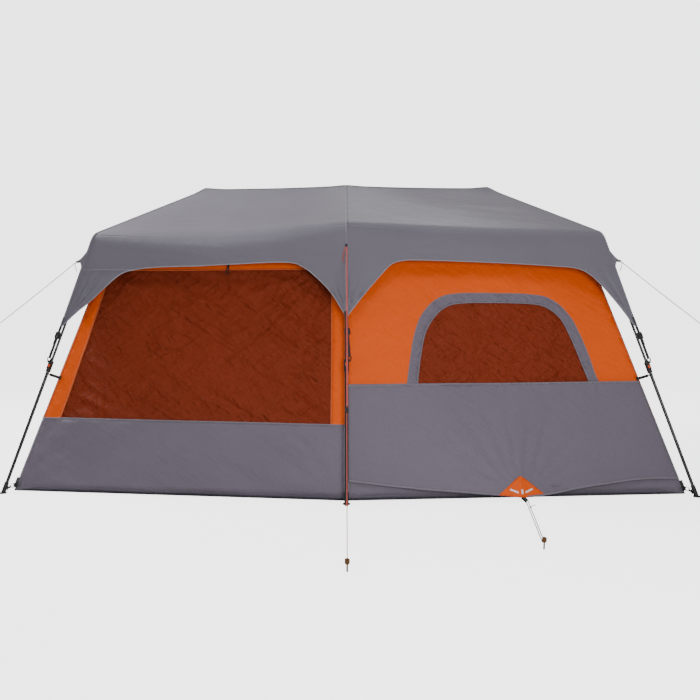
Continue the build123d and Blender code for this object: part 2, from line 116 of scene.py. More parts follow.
def noise2(x, y, seed=0):
    """Smooth noise from -1 to 1, one cell across for each unit."""
    if seed not in noise_tables:
        noise_tables[seed] = np.random.RandomState(seed).rand(64, 64) * 2 - 1
    g = noise_tables[seed]
    xi, yi = np.floor(x).astype(int), np.floor(y).astype(int)
    fx, fy = x - xi, y - yi
    fx, fy = fx * fx * (3 - 2 * fx), fy * fy * (3 - 2 * fy)
    a, b = g[xi % 64, yi % 64], g[(xi + 1) % 64, yi % 64]
    c, d = g[xi % 64, (yi + 1) % 64], g[(xi + 1) % 64, (yi + 1) % 64]
    return (a * (1 - fx) + b * fx) * (1 - fy) + (c * (1 - fx) + d * fx) * fy


def fbm(x, y, seed=0, octaves=3):
    total, size = 0.0, 1.0
    for k in range(octaves):
        total = total + noise2(x / size + 7.3 * k, y / size + 3.1 * k, seed + k) * size
        size *= 0.5
    return total


def folds(x, y, angle, long, short, seed, sharp=1.0):
    """Creases that run along angle, long by short metres, from -1 to 1."""
    c, s = math.cos(angle), math.sin(angle)
    along, across = x * c + y * s, -x * s + y * c
    across = across + 0.35 * short * fbm(along / (0.6 * long), across / (2 * short), seed + 40, 2)
    n = noise2(along / long, across / short, seed)
    n = n + 0.5 * noise2(along / (0.6 * long), across / (0.45 * short), seed + 9)
    return np.clip(1 - np.abs(n) ** sharp * 2, -1, 1)


def rays(x, y, px, py, count, seed, near, far):
    """Tension creases that spread from a point, strongest between near and far."""
    dx, dy = x - px, y - py
    d = np.hypot(dx, dy)
    turn = np.arctan2(dx, dy)
    wave = np.sin(count * turn + 1.7 * noise2(turn * 5 + 20, d * 2, seed))
    wave = wave + 0.45 * np.sin(count * 2.3 * turn + seed)
    return wave * np.clip(d / near, 0, 1) * (1 - step(near, far, d))


def along_path(points, pace):
    """The same path, with a point at about each pace."""
    points = np.asarray(points, float)
    out = [points[:1]]
    for a, b in zip(points[:-1], points[1:]):
        n = max(1, int(round(np.linalg.norm(b - a) / pace)))
        out.append(a + (b - a) * (np.arange(1, n + 1) / n)[:, None])
    return np.concatenate(out)


def smooth_path(points, n=8):
    """Catmull-Rom curve through an open path's points."""
    p = np.asarray(points, float)
    p = np.concatenate([[2 * p[0] - p[1]], p, [2 * p[-1] - p[-2]]])
    out = []
    for k in range(1, len(p) - 2):
        a, b, c, d = p[k - 1 : k + 3]
        for t in np.arange(n) / n:
            square, cube = (2 * a - 5 * b + 4 * c - d) * t**2, (3 * b - a - 3 * c + d) * t**3
            out.append(0.5 * (2 * b + (c - a) * t + square + cube))
    out.append(p[-2])
    return np.array(out)


def closed(loop):
    """A loop with its first point again at its end."""
    return np.concatenate([loop, loop[:1]])


def inside(loop, x, y):
    """True where the points lie inside a closed loop."""
    loop = np.asarray(loop, float)
    hit = np.zeros(np.shape(x), bool)
    for (ax, ay), (bx, by) in zip(loop, np.roll(loop, -1, axis=0)):
        if ay == by:
            continue
        cross = (y < ay) != (y < by)
        hit ^= cross & (x < (bx - ax) * (y - ay) / (by - ay) + ax)
    return hit


def near_lines(lines, x, y):
    """How far each point is from the nearest of these open paths."""
    best = np.full(np.shape(x), ABOVE)
    for line in lines:
        for a, b in zip(line[:-1], line[1:]):
            d = b - a
            t = np.clip(((x - a[0]) * d[0] + (y - a[1]) * d[1]) / max(d @ d, 1e-12), 0, 1)
            best = np.minimum(best, np.hypot(x - a[0] - t * d[0], y - a[1] - t * d[1]))
    return best


def grown(loop, by):
    """A loop pushed outwards all round."""
    loop = np.asarray(loop, float)
    t = units(np.roll(loop, -1, 0) - np.roll(loop, 1, 0))
    out = np.stack([t[:, 1], -t[:, 0]], -1)
    area = np.sum(loop[:, 0] * np.roll(loop[:, 1], -1) - loop[:, 1] * np.roll(loop[:, 0], -1))
    return loop + out * (by if area > 0 else -by)


def placed(origin, axes, rows):
    """Points given by how far they stand from an origin along each of these axes."""
    return origin + np.array(rows, float) @ np.array(axes)


def run_of(path):
    """How far along a path each of its points is."""
    return np.concatenate([[0], np.cumsum(np.linalg.norm(np.diff(path, axis=0), axis=1))])


# ---------------------------------------------------------------- materials
def nodes_of(name):
    mat = bpy.data.materials.new(name)
    mat.use_nodes = True
    nt = mat.node_tree
    return mat, nt, nt.nodes["Principled BSDF"]


def put(nt, kind, **inputs):
    n = nt.nodes.new(kind)
    for key, value in inputs.items():
        if key in n.inputs:
            n.inputs[key].default_value = value
        else:
            setattr(n, key, value)
    return n


def calc(nt, operation, *sources):
    n = put(nt, "ShaderNodeMath", operation=operation)
    for k, s in enumerate(sources):
        if isinstance(s, (int, float)):
            n.inputs[k].default_value = s
        else:
            nt.links.new(s, n.inputs[k])
    return n.outputs[0]


def times(nt, a, b):
    return calc(nt, "MULTIPLY", a, b)


def plus(nt, a, b):
    return calc(nt, "ADD", a, b)


def tint(nt, factor, low, high):
    ramp = put(nt, "ShaderNodeValToRGB")
    for element, colour, position in zip(ramp.color_ramp.elements, (low, high), (0.3, 0.7)):
        element.color = (*colour, 1)
        element.position = position
    nt.links.new(factor, ramp.inputs[0])
    return ramp.outputs[0]


def place(nt, kind, scale=(1.0, 1.0, 1.0)):
    m = put(nt, "ShaderNodeMapping", Scale=scale)
    nt.links.new(put(nt, "ShaderNodeTexCoord").outputs[kind], m.inputs[0])
    return m.outputs[0]


def grain(nt, where, scale, detail=3.0, rough=0.55):
    n = put(nt, "ShaderNodeTexNoise", Scale=scale, Detail=detail, Roughness=rough)
    nt.links.new(where, n.inputs["Vector"])
    return n.outputs["Fac"]


def thread(nt, where, direction, scale):
    w = put(nt, "ShaderNodeTexWave", bands_direction=direction, Scale=scale, Distortion=0.0)
    nt.links.new(where, w.inputs["Vector"])
    return w.outputs["Fac"]


def relief(nt, shader, height, strength, distance, first=None):
    b = put(nt, "ShaderNodeBump", Strength=strength, Distance=distance)
    nt.links.new(height, b.inputs["Height"])
    if first is not None:
        nt.links.new(first, b.inputs["Normal"])
    nt.links.new(b.outputs[0], shader.inputs["Normal"])
    return b.outputs[0]


def coloured(nt, shader, factor, colour, spread, lift=0.0):
    """A base colour that drifts by spread either way."""
    low = tuple(c * (1 - spread) for c in colour)
    high = tuple(min(1.0, c * (1 + spread) + lift) for c in colour)
    nt.links.new(tint(nt, factor, low, high), shader.inputs["Base Color"])


def worn(nt, shader, where, scale, detail, depth, low):
    """Roughness that varies over the surface, from low to low + depth."""
    nt.links.new(plus(nt, times(nt, grain(nt, where, scale, detail), depth), low), shader.inputs["Roughness"])


def finish_of(mat, shader, **values):
    """Numbers that are the same all over the surface, by their socket's name with _ for a space."""
    for key, value in values.items():
        shader.inputs[key.replace("_", " ")].default_value = value
    return mat


# Pressed creases of packed cloth: direction, how fine, and depth in metres
CREASES = ((-0.55, 1.5, 0.007), (-0.95, 3.1, 0.0035), (0.7, 2.4, 0.004))
CREASE_LONG, CREASE_WIDE = 0.55, 0.11


def cloth_material(
    name, colour, crinkle, rough, sheen=0.12, gloss=0.3, creases=0.0, threads=420.0, alpha=1.0
):
    """Woven cloth: fine threads across each other, crinkles, pressed creases and slight colour drift."""
    mat, nt, shader = nodes_of(name)
    uv, obj = place(nt, "UV"), place(nt, "Object")
    drift, fine = grain(nt, obj, 1.6, 4.0), grain(nt, uv, 90.0, 2.0)
    coloured(nt, shader, plus(nt, times(nt, drift, 0.7), times(nt, fine, 0.3)), colour, 0.07)
    weave = times(nt, thread(nt, uv, "X", threads), thread(nt, uv, "Y", threads))
    normal = relief(nt, shader, weave, 0.25, 0.0004)
    soft = plus(nt, grain(nt, obj, 7.0, 5.0, 0.6), times(nt, grain(nt, uv, 34.0, 3.0), 0.25))
    normal = relief(nt, shader, soft, crinkle, 0.006, normal)
    for turn, size, depth in CREASES if creases else ():
        m = put(nt, "ShaderNodeMapping", vector_type="TEXTURE", Rotation=(0, 0, turn))
        m.inputs["Scale"].default_value = (CREASE_LONG / size, CREASE_WIDE / size, 1.0)
        nt.links.new(put(nt, "ShaderNodeTexCoord").outputs["UV"], m.inputs[0])
        line = calc(nt, "SUBTRACT", grain(nt, m.outputs[0], 1.0, 3.0, 0.5), 0.5)
        line = calc(nt, "MINIMUM", times(nt, calc(nt, "ABSOLUTE", line), 5.0), 1.0)
        normal = relief(nt, shader, line, creases, depth, normal)
    worn(nt, shader, obj, 3.1, 3.0, 0.16, rough - 0.08)
    return finish_of(
        mat, shader, Sheen_Weight=sheen, Sheen_Roughness=0.5, Specular_IOR_Level=gloss, Alpha=alpha
    )


STITCH_ROW, STITCH_WIDE = 0.0032, 0.0008


def webbing_material(name, colour, stitch=None):
    """Woven tape: ribs along it, and where stitch gives their colour, rows of stitches beside its middle."""
    mat, nt, shader = nodes_of(name)
    uv = place(nt, "UV")
    rib, weft = thread(nt, uv, "Y", 160.0), thread(nt, uv, "X", 140.0)
    low, high = tuple(c * 0.8 for c in colour), tuple(min(1, c * 1.25 + 0.004) for c in colour)
    body = tint(nt, grain(nt, uv, 160.0, 2.0), low, high)
    if stitch:
        split = put(nt, "ShaderNodeSeparateXYZ")
        nt.links.new(uv, split.inputs[0])
        dash = calc(nt, "LESS_THAN", calc(nt, "FRACT", times(nt, split.outputs[0], 130.0)), 0.62)
        row = calc(nt, "SUBTRACT", calc(nt, "ABSOLUTE", split.outputs[1]), STITCH_ROW)
        row = calc(nt, "LESS_THAN", calc(nt, "ABSOLUTE", row), STITCH_WIDE)
        mix = put(nt, "ShaderNodeMix", data_type="RGBA")
        nt.links.new(times(nt, dash, row), mix.inputs[0])
        nt.links.new(body, mix.inputs[6])
        mix.inputs[7].default_value = (*stitch, 1)
        body = mix.outputs[2]
    nt.links.new(body, shader.inputs["Base Color"])
    relief(nt, shader, plus(nt, rib, times(nt, weft, 0.6)), 0.5, 0.0007)
    worn(nt, shader, uv, 22.0, 3.0, 0.2, 0.62)
    return finish_of(mat, shader, Sheen_Weight=0.2)


def hard_material(name, colour, rough, metal=0.0, bump=0.15, coat=0.0, spread=0.12):
    """Painted metal or moulded plastic: fine orange peel, smudges in the gloss, slight colour drift."""
    mat, nt, shader = nodes_of(name)
    obj = place(nt, "Object")
    coloured(nt, shader, grain(nt, obj, 9.0, 5.0), colour, spread, 0.003)
    worn(nt, shader, obj, 24.0, 4.0, 0.22, rough - 0.11)
    relief(nt, shader, grain(nt, obj, 480.0, 2.0), bump, 0.0003)
    return finish_of(mat, shader, Metallic=metal, Coat_Weight=coat)


def cord_material(name, colour, fleck):
    """Braided cord: crossing strands with a paler fleck."""
    mat, nt, shader = nodes_of(name)
    obj, mirrored = place(nt, "Object"), place(nt, "Object", (-1.0, 1.0, 1.0))
    braid = times(nt, thread(nt, obj, "DIAGONAL", 300.0), thread(nt, mirrored, "DIAGONAL", 300.0))
    colours = tint(nt, plus(nt, braid, grain(nt, obj, 60.0)), colour, fleck)
    nt.links.new(colours, shader.inputs["Base Color"])
    relief(nt, shader, braid, 0.6, 0.0006)
    return finish_of(mat, shader, Roughness=0.6, Sheen_Weight=0.2)


GREY = (0.180, 0.156, 0.200)
MAT = {
    "fly": cloth_material("fly_cloth", (0.182, 0.168, 0.206), 0.35, 0.55, creases=0.12),
    "grey": cloth_material("grey_cloth", GREY, 0.45, 0.6, creases=0.25),
    "ring": cloth_material("ring_cloth", GREY, 0.9, 0.6, creases=1.0),
    # the tub is the wall's own grey cloth; its darker colour here is painted shade, for the rolled lower edge
    # under the walls and skirt and for the floor
    "tub": cloth_material("tub_cloth_painted_shade", (0.125, 0.110, 0.145), 0.7, 0.5, sheen=0.1, creases=0.3),
    "orange": cloth_material("orange_cloth", (0.95, 0.115, 0.003), 0.6, 0.55, 0.0, 0.15, 0.35),
    "curtain": cloth_material("curtain_cloth", (0.92, 0.10, 0.004), 1.0, 0.5, 0.0, 0.15, 1.2),
    "net": cloth_material("rust_net", (0.235, 0.036, 0.014), 0.9, 0.6, 0.0, 0.2, 1.5, 260.0, 0.72),
    "ceiling": cloth_material("ceiling_net", (0.13, 0.13, 0.14), 0.4, 0.7, 0.1, threads=260.0, alpha=0.75),
    "white": cloth_material("mark_print", (0.95, 0.93, 0.92), 0.2, 0.5, sheen=0.0),
    "trim": webbing_material("grey_trim", (0.20, 0.178, 0.225), (0.34, 0.32, 0.37)),
    "otrim": webbing_material("orange_trim", (0.70, 0.085, 0.004), (0.85, 0.22, 0.04)),
    # the hem's piping is a real edge tape; its lighter colour is a painted highlight along the hem
    "piping": webbing_material("hem_piping_painted_highlight", (0.33, 0.31, 0.36)),
    "black": webbing_material("black_webbing", (0.012, 0.012, 0.013), (0.05, 0.05, 0.055)),
    "zip": webbing_material("zip_tape", (0.05, 0.045, 0.045)),
    "steel": hard_material("black_steel", (0.010, 0.010, 0.011), 0.38, coat=0.25),
    "plastic": hard_material("black_plastic", (0.014, 0.014, 0.015), 0.55, bump=0.35),
    "button": hard_material("orange_plastic", (0.85, 0.09, 0.004), 0.3, coat=0.3),
    "metal": hard_material("ring_metal", (0.55, 0.56, 0.58), 0.3, metal=1.0),
    "zipmetal": hard_material("zip_metal", (0.06, 0.06, 0.065), 0.35, metal=0.8),
    "peg": hard_material("peg_metal", (0.10, 0.042, 0.008), 0.5, metal=0.3, spread=0.7),
    "red": cord_material("red_cord", (0.52, 0.028, 0.024), (0.68, 0.08, 0.06)),
    "pale": cord_material("pale_cord", (0.34, 0.07, 0.075), (0.50, 0.20, 0.20)),
    "whitecord": cord_material("white_cord", (0.06, 0.06, 0.065), (0.20, 0.20, 0.21)),
}
NODE_MAT = {
    "black_steel": "steel",
    "black_plastic": "plastic",
    "orange_plastic": "button",
    "zip_metal": "zipmetal",
    "peg_metal": "peg",
}


# ---------------------------------------------------------------- meshes
ROW_GAP = 0.87  # between rows of near-equilateral triangles, as a share of their side


class Piece:
    """Collects sheets, ribbons and tubes into one mesh with material slots."""

    def __init__(self, name):
        self.name, self.v, self.f, self.m, self.uv, self.mats, self.n = name, [], [], [], [], [], 0
        self.flat, self.spans = 0.0, []

    def cut(self, points, uv):
        """Counts a grid as cloth: its area, and the flat rectangle it is cut from."""
        across, along = points[1:, 1:] - points[:-1, :-1], points[1:, :-1] - points[:-1, 1:]
        self.flat += float(np.linalg.norm(np.cross(across, along), axis=-1).sum() / 2)
        self.spans.append(np.asarray(uv).reshape(-1, 2))

    def add(self, verts, faces, mat, uv, mats=None):
        """mat is one material's key for all the faces, or mats a key for each face."""
        verts = np.asarray(verts, float).reshape(-1, 3)
        keys = mats if mats is not None else [mat] * len(faces)
        for k in dict.fromkeys(keys):
            if k not in self.mats:
                self.mats.append(k)
        self.v.append(verts)
        self.uv.append(np.asarray(uv, float).reshape(-1, 2))
        self.f += [tuple(i + self.n for i in f) for f in faces]
        self.m += [self.mats.index(k) for k in keys]
        self.n += len(verts)

    def grid(self, points, mat, uv=None, closed=False):
        """points is rows by columns by 3."""
        r, c = points.shape[:2]
        faces = [
            (i * c + j, i * c + (j + 1) % c, (i + 1) * c + (j + 1) % c, (i + 1) * c + j)
            for i in range(r - 1)
            for j in range(c if closed else c - 1)
        ]
        if uv is None:
            across = np.linalg.norm(np.diff(points, axis=1), axis=2)
            along = np.linalg.norm(np.diff(points, axis=0), axis=2)
            du = np.concatenate([np.zeros((r, 1)), np.cumsum(across, 1)], 1)
            dv = np.concatenate([np.zeros((1, c)), np.cumsum(along, 0)], 0)
            uv = np.stack([du, dv], -1)
        self.add(points.reshape(-1, 3), faces, mat, uv.reshape(-1, 2))

    def caps(self, first, last, sides, mat):
        """Closes both ends of a tube whose first and last rings start at these points."""
        for ring in (list(range(first, first + sides))[::-1], list(range(last, last + sides))):
            self.f.append(tuple(ring))
            self.m.append(self.mats.index(mat))

    def ribbon(self, path, normals, width, mat, lift=0.0012, crown=0.0):
        """Flat tape along a path. normals point away from what it is sewn on."""
        path = np.asarray(path, float)
        normals = units(np.broadcast_to(normals, np.shape(path)).astype(float))
        side = units(np.cross(units(np.gradient(path, axis=0)), normals))
        run = run_of(path)
        offs = np.array([-0.5, -0.25, 0.25, 0.5]) if crown else np.array([-0.5, 0.5])
        rise = np.array([0, crown, crown, 0]) if crown else np.zeros(2)
        rows = [path + side * width * o + normals * (lift + h) for o, h in zip(offs, rise)]
        uv = [np.stack([run, np.full(len(run), width * o)], -1) for o in offs]
        self.grid(np.stack(rows, 0), mat, np.stack(uv, 0))

    def tube(self, path, radius, mat, closed=False, sides=8):
        path = np.asarray(path, float)
        if closed:
            tangent = units(np.roll(path, -1, 0) - np.roll(path, 1, 0))
        else:
            tangent = units(np.gradient(path, axis=0))
        ref = vec(0, 0, 1) if abs(tangent[0][2]) < 0.9 else vec(1, 0, 0)
        across = unit(np.cross(tangent[0], ref))
        a = np.arange(sides) / sides * 2 * math.pi
        rows = []
        for p, t in zip(path, tangent):
            across = unit(across - t * (across @ t))
            other = np.cross(t, across)
            rows.append(p + radius * (np.cos(a)[:, None] * across + np.sin(a)[:, None] * other))
        if closed:
            rows.append(rows[0])
        first = self.n
        self.grid(np.stack(rows, 0), mat, closed=True)
        if not closed:
            self.caps(first, first + (len(rows) - 1) * sides, sides, mat)

    def strap(self, path, facing, width, mat, thick=0.0018):
        """Webbing with its own thickness. Its flat side faces facing."""
        path = np.asarray(path, float)
        tangent = units(np.gradient(path, axis=0))
        side = units(np.cross(tangent, np.broadcast_to(facing, path.shape)))
        out = units(np.cross(side, tangent))
        run = run_of(path)
        corners = [(-0.5, -0.5), (0.5, -0.5), (0.5, 0.5), (-0.5, 0.5)]
        rows = [path + side * width * a + out * thick * b for a, b in corners]
        uv = [np.stack([run, np.full(len(run), width * a + 0.0001 * b)], -1) for a, b in corners]
        first = self.n
        self.grid(np.stack(rows, 1), mat, np.stack(uv, 1), closed=True)
        self.caps(first, first + (len(path) - 1) * 4, 4, mat)

    def fill(self, loops, pace, key, surface, lines=()):
        """A sheet that fills 2-D loops, with edges along lines.

        key(x, y) gives each place's material, "" for none, and surface(x, y) its points.
        """
        rings = [along_path(closed(loop), pace)[:-1] for loop in map(np.asarray, loops)]
        extra = [along_path(line, pace) for line in lines]
        pts, edges = [], []
        for r in rings:
            edges += [(len(pts) + i, len(pts) + (i + 1) % len(r)) for i in range(len(r))]
            pts += [tuple(p) for p in r]
        for r in extra:
            edges += [(len(pts) + i, len(pts) + i + 1) for i in range(len(r) - 1)]
            pts += [tuple(p) for p in r]
        every = np.concatenate(rings)
        low, high = every.min(0), every.max(0)
        ny = int((high[1] - low[1]) / (pace * ROW_GAP)) + 1
        nx = int((high[0] - low[0]) / pace) + 1
        gy, gx = np.mgrid[0:ny, 0:nx].astype(float)
        gx = low[0] + (gx + 0.5 * (gy % 2)) * pace
        gy = low[1] + gy * pace * ROW_GAP
        gx, gy = gx.ravel(), gy.ravel()
        edge = [closed(r) for r in rings] + extra
        good = (near_lines(edge, gx, gy) > 0.5 * pace) & (key(gx, gy) != "")
        pts += list(zip(gx[good], gy[good]))
        out = delaunay_2d_cdt([Vector(p) for p in pts], edges, [], 0, 1e-6)
        xy = np.array([tuple(p) for p in out[0]])
        tri = np.array(out[2])
        a, b, c = xy[tri[:, 0]], xy[tri[:, 1]], xy[tri[:, 2]]
        size = ((b - a)[:, 0] * (c - a)[:, 1] - (b - a)[:, 1] * (c - a)[:, 0]) / 2
        mid = (a + b + c) / 3
        keys = key(mid[:, 0], mid[:, 1])
        use = (keys != "") & (np.abs(size) > 1e-9)
        self.flat += float(np.abs(size[use]).sum())
        self.spans.append(xy[tri[use].ravel()])
        faces, mats = [tuple(t) for t in tri[use]], [str(k) for k in keys[use]]
        self.add(surface(xy[:, 0], xy[:, 1]), faces, None, xy, mats)

    def make(self, thick=0.0, outward=None, sharp=40):
        """The object. outward turns every loose sheet's faces that way."""
        v, uv = np.concatenate(self.v), np.concatenate(self.uv)
        used = sorted({i for f in self.f for i in f})
        at = {old: new for new, old in enumerate(used)}
        faces = [tuple(at[i] for i in f) for f in self.f]
        me = bpy.data.meshes.new(self.name)
        me.from_pydata(v[used].tolist(), [], faces)
        layer = me.uv_layers.new(name="UVMap")
        loops = np.zeros(len(me.loops), np.int32)
        me.loops.foreach_get("vertex_index", loops)
        layer.data.foreach_set("uv", uv[used][loops].astype(np.float32).ravel())
        for k in self.mats:
            me.materials.append(MAT[k])
        me.polygons.foreach_set("material_index", np.array(self.m, np.int32))
        me.polygons.foreach_set("use_smooth", np.ones(len(faces), bool))
        me.update()
        me.set_sharp_from_angle(angle=math.radians(sharp))
        obj = bpy.data.objects.new(self.name, me)
        SCENE.collection.objects.link(obj)
        if outward is not None:
            normals = np.zeros(len(me.polygons) * 3, np.float32)
            me.polygons.foreach_get("normal", normals)
            if (normals.reshape(-1, 3) @ np.asarray(outward, float)).sum() < 0:
                me.flip_normals()
        if thick:
            m = obj.modifiers.new("cloth", "SOLIDIFY")
            m.thickness, m.offset = thick, 0.0
        return obj


def attach(obj, body, nodes, squash=None):
    """Hangs a piece on its body, gives it its own mesh where it would gather, and hides the CAD nodes it
    stands for.
    """
    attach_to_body(obj, body)
    if squash:
        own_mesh(obj)
    if nodes:
        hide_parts(*nodes)
    return obj


def sheet(piece, body, nodes, squash, outward, thick=0.0012):
    """Makes a cloth piece and hangs it on its body."""
    obj = attach(piece.make(thick, outward), body, nodes, squash)
    return obj


def trim(piece, body, nodes=(), squash=None):
    return attach(piece.make(sharp=35), body, nodes, squash)


# ---------------------------------------------------------------- frame lines
def signs(leg):
    return (-1 if "left" in leg else 1 if "right" in leg else 0), (-1 if "front" in leg else 1)


def eave_of(leg):
    sx, sy = signs(leg)
    x, y, z = CORNER_EAVE if sx else MID_EAVE
    return vec(sx * x, sy * y, z)


def foot_of(leg):
    sx, sy = signs(leg)
    x, y = CORNER_FOOT if sx else MID_FOOT
    return vec(sx * x, sy * y, 0)


def leg_axes(leg):
    sy = signs(leg)[1]
    up = unit(eave_of(leg) - foot_of(leg))
    beside = unit(np.cross(up, vec(0, sy, 0)))
    return up, unit(np.cross(beside, up)), beside


def on_leg(leg, height, across=0.0):
    up, _, beside = leg_axes(leg)
    return foot_of(leg) + up * height + beside * across


def leg_squash(leg, normal):
    """The fold that would flatten a wall in its own plane towards the leg it is tied to."""
    down = unit(foot_of(leg) - eave_of(leg))
    return "fold", unit(np.cross(normal, down)), eave_of(leg), 0.045


def wall_cloth(piece, leg, n, nodes, thick=0.0012, body=None):
    """A sheet hung on the upper part of a leg, or on body. n is the way it faces."""
    body, rests = body or f"upper_{leg}", f"leg_upper_{leg}"
    sheet(piece, body, nodes, leg_squash(leg, n), n, thick)


def corner_of(sx, sy):
    return f"{'front' if sy < 0 else 'rear'}_{'left' if sx < 0 else 'right'}"


# ---------------------------------------------------------------- walls
def corner_x(z):
    return WALL_CORNER_X - LEAN_X * z


def corner_y(z):
    return WALL_MID_Y - BULGE * corner_x(z) - LEAN_Y * z


def wall_y(x, z):
    return WALL_MID_Y - BULGE * np.abs(x) - LEAN_Y * z


def wall_surface(n, base, relief_at, sink):
    """A wall as a function of x or y along it and z, and which way it faces."""
    return lambda a, z: base(a, z) + n * (relief_at(np.abs(a), z) - sink)[..., None], n


def long_surface(sx, sy, relief_at, sink=0.0):
    n = unit((sx * BULGE, sy, LEAN_Y))
    return wall_surface(n, lambda x, z: np.stack([x, sy * wall_y(x, z), z], -1), relief_at, sink)


def end_surface(sx, relief_at, sink=0.0):
    n = unit((sx, 0, LEAN_X))
    return wall_surface(n, lambda y, z: np.stack([sx * corner_x(z), y, z], -1), relief_at, sink)


def calm(x, z, edge):
    """1 in a panel's middle, 0 along its two upright edges."""
    return step(0.0, 0.12, edge(z) - x) * step(0.0, 0.10, x)


def wall_relief(seed):
    def relief_at(x, z):
        soft = 0.010 * fbm(x * 1.3, z * 1.1, seed, 2)
        fine = 0.0036 * folds(x, z, 0.35, 0.6, 0.12, seed + 3)
        fine = fine + 0.0026 * folds(x, z, -0.7, 0.4, 0.09, seed + 5)
        pull = 0.004 * rays(x, z, corner_x(0.02), 0.02, 17, seed, 0.2, 1.0)
        pull = pull + 0.0035 * rays(x, z, 0.0, 0.02, 15, seed + 1, 0.2, 0.8)
        flat_at_zip = 1 - 0.95 * bell(z - ZIP_Z, 0.06)
        return (soft + fine + pull) * flat_at_zip * calm(x, z, corner_x) * step(0.0, 0.08, z)

    return relief_at


def end_relief(seed):
    def relief_at(y, z):
        soft = 0.010 * fbm(y * 1.2, z * 1.1, seed, 2)
        fine = 0.0022 * folds(y, z, 0.4, 0.5, 0.09, seed + 3)
        pull = 0.004 * rays(y, z, corner_y(0.02), 0.02, 17, seed, 0.2, 0.9)
        return (soft + fine + pull) * step(0.0, 0.12, corner_y(z) - y) * step(0.0, 0.08, z)

    return relief_at


def curtain_relief(x, z):
    """Loose folds of the curtain behind the big window: down from the upper corner, finer at the right."""
    big = 0.013 * folds(x, z, 0.50, 0.8, 0.17, 21, 0.8)
    mid = 0.009 * folds(x, z, 0.66, 0.45, 0.075, 27, 0.8)
    small = 0.006 * folds(x, z, -0.75, 0.22, 0.05, 33) * step(1.25, 0.25, x)
    fan = 0.006 * rays(x, z, 0.12, 1.45, 21, 5, 0.15, 1.1)
    return big + mid + small + fan - 0.006


def drape_relief(x, z):
    """Upright, slightly slanting folds of a curtain behind a smaller window."""
    return 0.009 * folds(x, z, 1.15, 0.5, 0.075, 51, 0.8) + 0.005 * folds(x, z, 0.8, 0.3, 0.055, 57)


def hung_in(base, more, loop):
    """A pane's relief: the wall's own, with the pane's folds from 70 mm inside its seam."""
    line = [closed(np.abs(np.asarray(loop, float)))]
    return lambda x, z: base(x, z) + more(x, z) * step(0.0, 0.07, near_lines(line, x, z))


def tub_edge(x, far):
    """Height of the tub's lower fold: it lifts off the ground between the corners."""
    lift = 0.026 * step(0.0, 0.16, far - x) * (1 - 0.25 * bell(x, 0.25))
    return 0.004 + lift + 0.003 * np.sin(9 * x)


# Outlines in the walls' planes: x or y along the wall, and z
WINDOW_LEFT = np.array([(-1.874, 0.463), (-0.094, 0.449), (-0.094, 1.440), (-1.606, 1.440)])
RING_INNER = smooth_path(
    [(0.450, 0.690), (0.474, 0.860), (0.503, 0.995), (0.556, 1.100), (0.636, 1.178), (0.745, 1.210)]
    + [(0.980, 1.214), (1.200, 1.211), (1.320, 1.190), (1.420, 1.112), (1.482, 0.990), (1.528, 0.860)]
    + [(1.586, 0.692)],
    6,
)
RING_OUTER = smooth_path(
    [(0.386, 0.693), (0.412, 0.860), (0.440, 1.005), (0.492, 1.135), (0.590, 1.235), (0.720, 1.271)]
    + [(0.980, 1.275), (1.215, 1.271), (1.360, 1.240), (1.474, 1.140), (1.545, 1.005), (1.594, 0.860)]
    + [(1.645, 0.692)],
    6,
)
DOOR_EDGE = smooth_path(
    [(-1.929, 0.172), (-1.500, 0.168), (-1.150, 0.175), (-1.010, 0.260), (-0.966, 0.520), (-0.950, 0.850)]
    + [(-0.985, 1.120), (-1.080, 1.320), (-1.230, 1.430), (-1.400, 1.468), (-1.541, 1.470)],
    6,
)
END_LOW, END_HIGH, END_BORDER = 0.640, 1.330, 0.058
END_RING_INNER = smooth_path(
    [(-0.740, END_LOW), (-0.712, 0.850), (-0.650, 1.060), (-0.560, 1.220), (-0.420, 1.310)]
    + [(-0.200, END_HIGH), (0.200, END_HIGH), (0.420, 1.310), (0.560, 1.220), (0.650, 1.060)]
    + [(0.712, 0.850), (0.740, END_LOW)],
    5,
)
END_RING_OUTER = END_RING_INNER + END_BORDER * units(END_RING_INNER - vec(0, 0.86))
END_RING_OUTER[0, 1] = END_RING_OUTER[-1, 1] = END_LOW


def banded(bands, holes=(), rings=(), loop=None):
    """Material by height, with rings in trim cloth, and nothing in the holes or outside the loop."""

    def key(x, z):
        out = np.full(np.shape(x), "", dtype=object)
        low = -ABOVE
        for top, name in bands:
            high = top(x) if callable(top) else top
            out[(z >= low) & (z < high)] = name
            low = high
        for ring in rings:
            out[inside(ring, x, z)] = "ring"
        for hole in holes:
            out[inside(hole, x, z)] = ""
        if loop is not None:
            out[~inside(loop, x, z)] = ""
        return out

    return key


def framed(piece, surface, n, path, width, mat, lift=0.0014):
    """A tape sewn along a 2-D path on a surface."""
    p = along_path(path, 0.03)
    piece.ribbon(surface(p[:, 0], p[:, 1]), n, width, mat, lift)


def tub_fold(piece, bottom, point):
    """The tub's lower edge, rolled in to the ground. point(z, inward) gives one row of it."""
    rows = []
    for inward, drop in ((0.0, 0.0), (0.006, 0.45), (0.022, 0.85), (0.060, 1.0)):
        rows.append(point(bottom + (0.0035 - bottom) * drop, inward))
    # the fold is in the tub cloth, whose darker colour is painted shade
    piece.grid(np.stack(rows, 0), "tub")


EDGE = 0.004  # how far each wall's cloth stays from its neighbour's


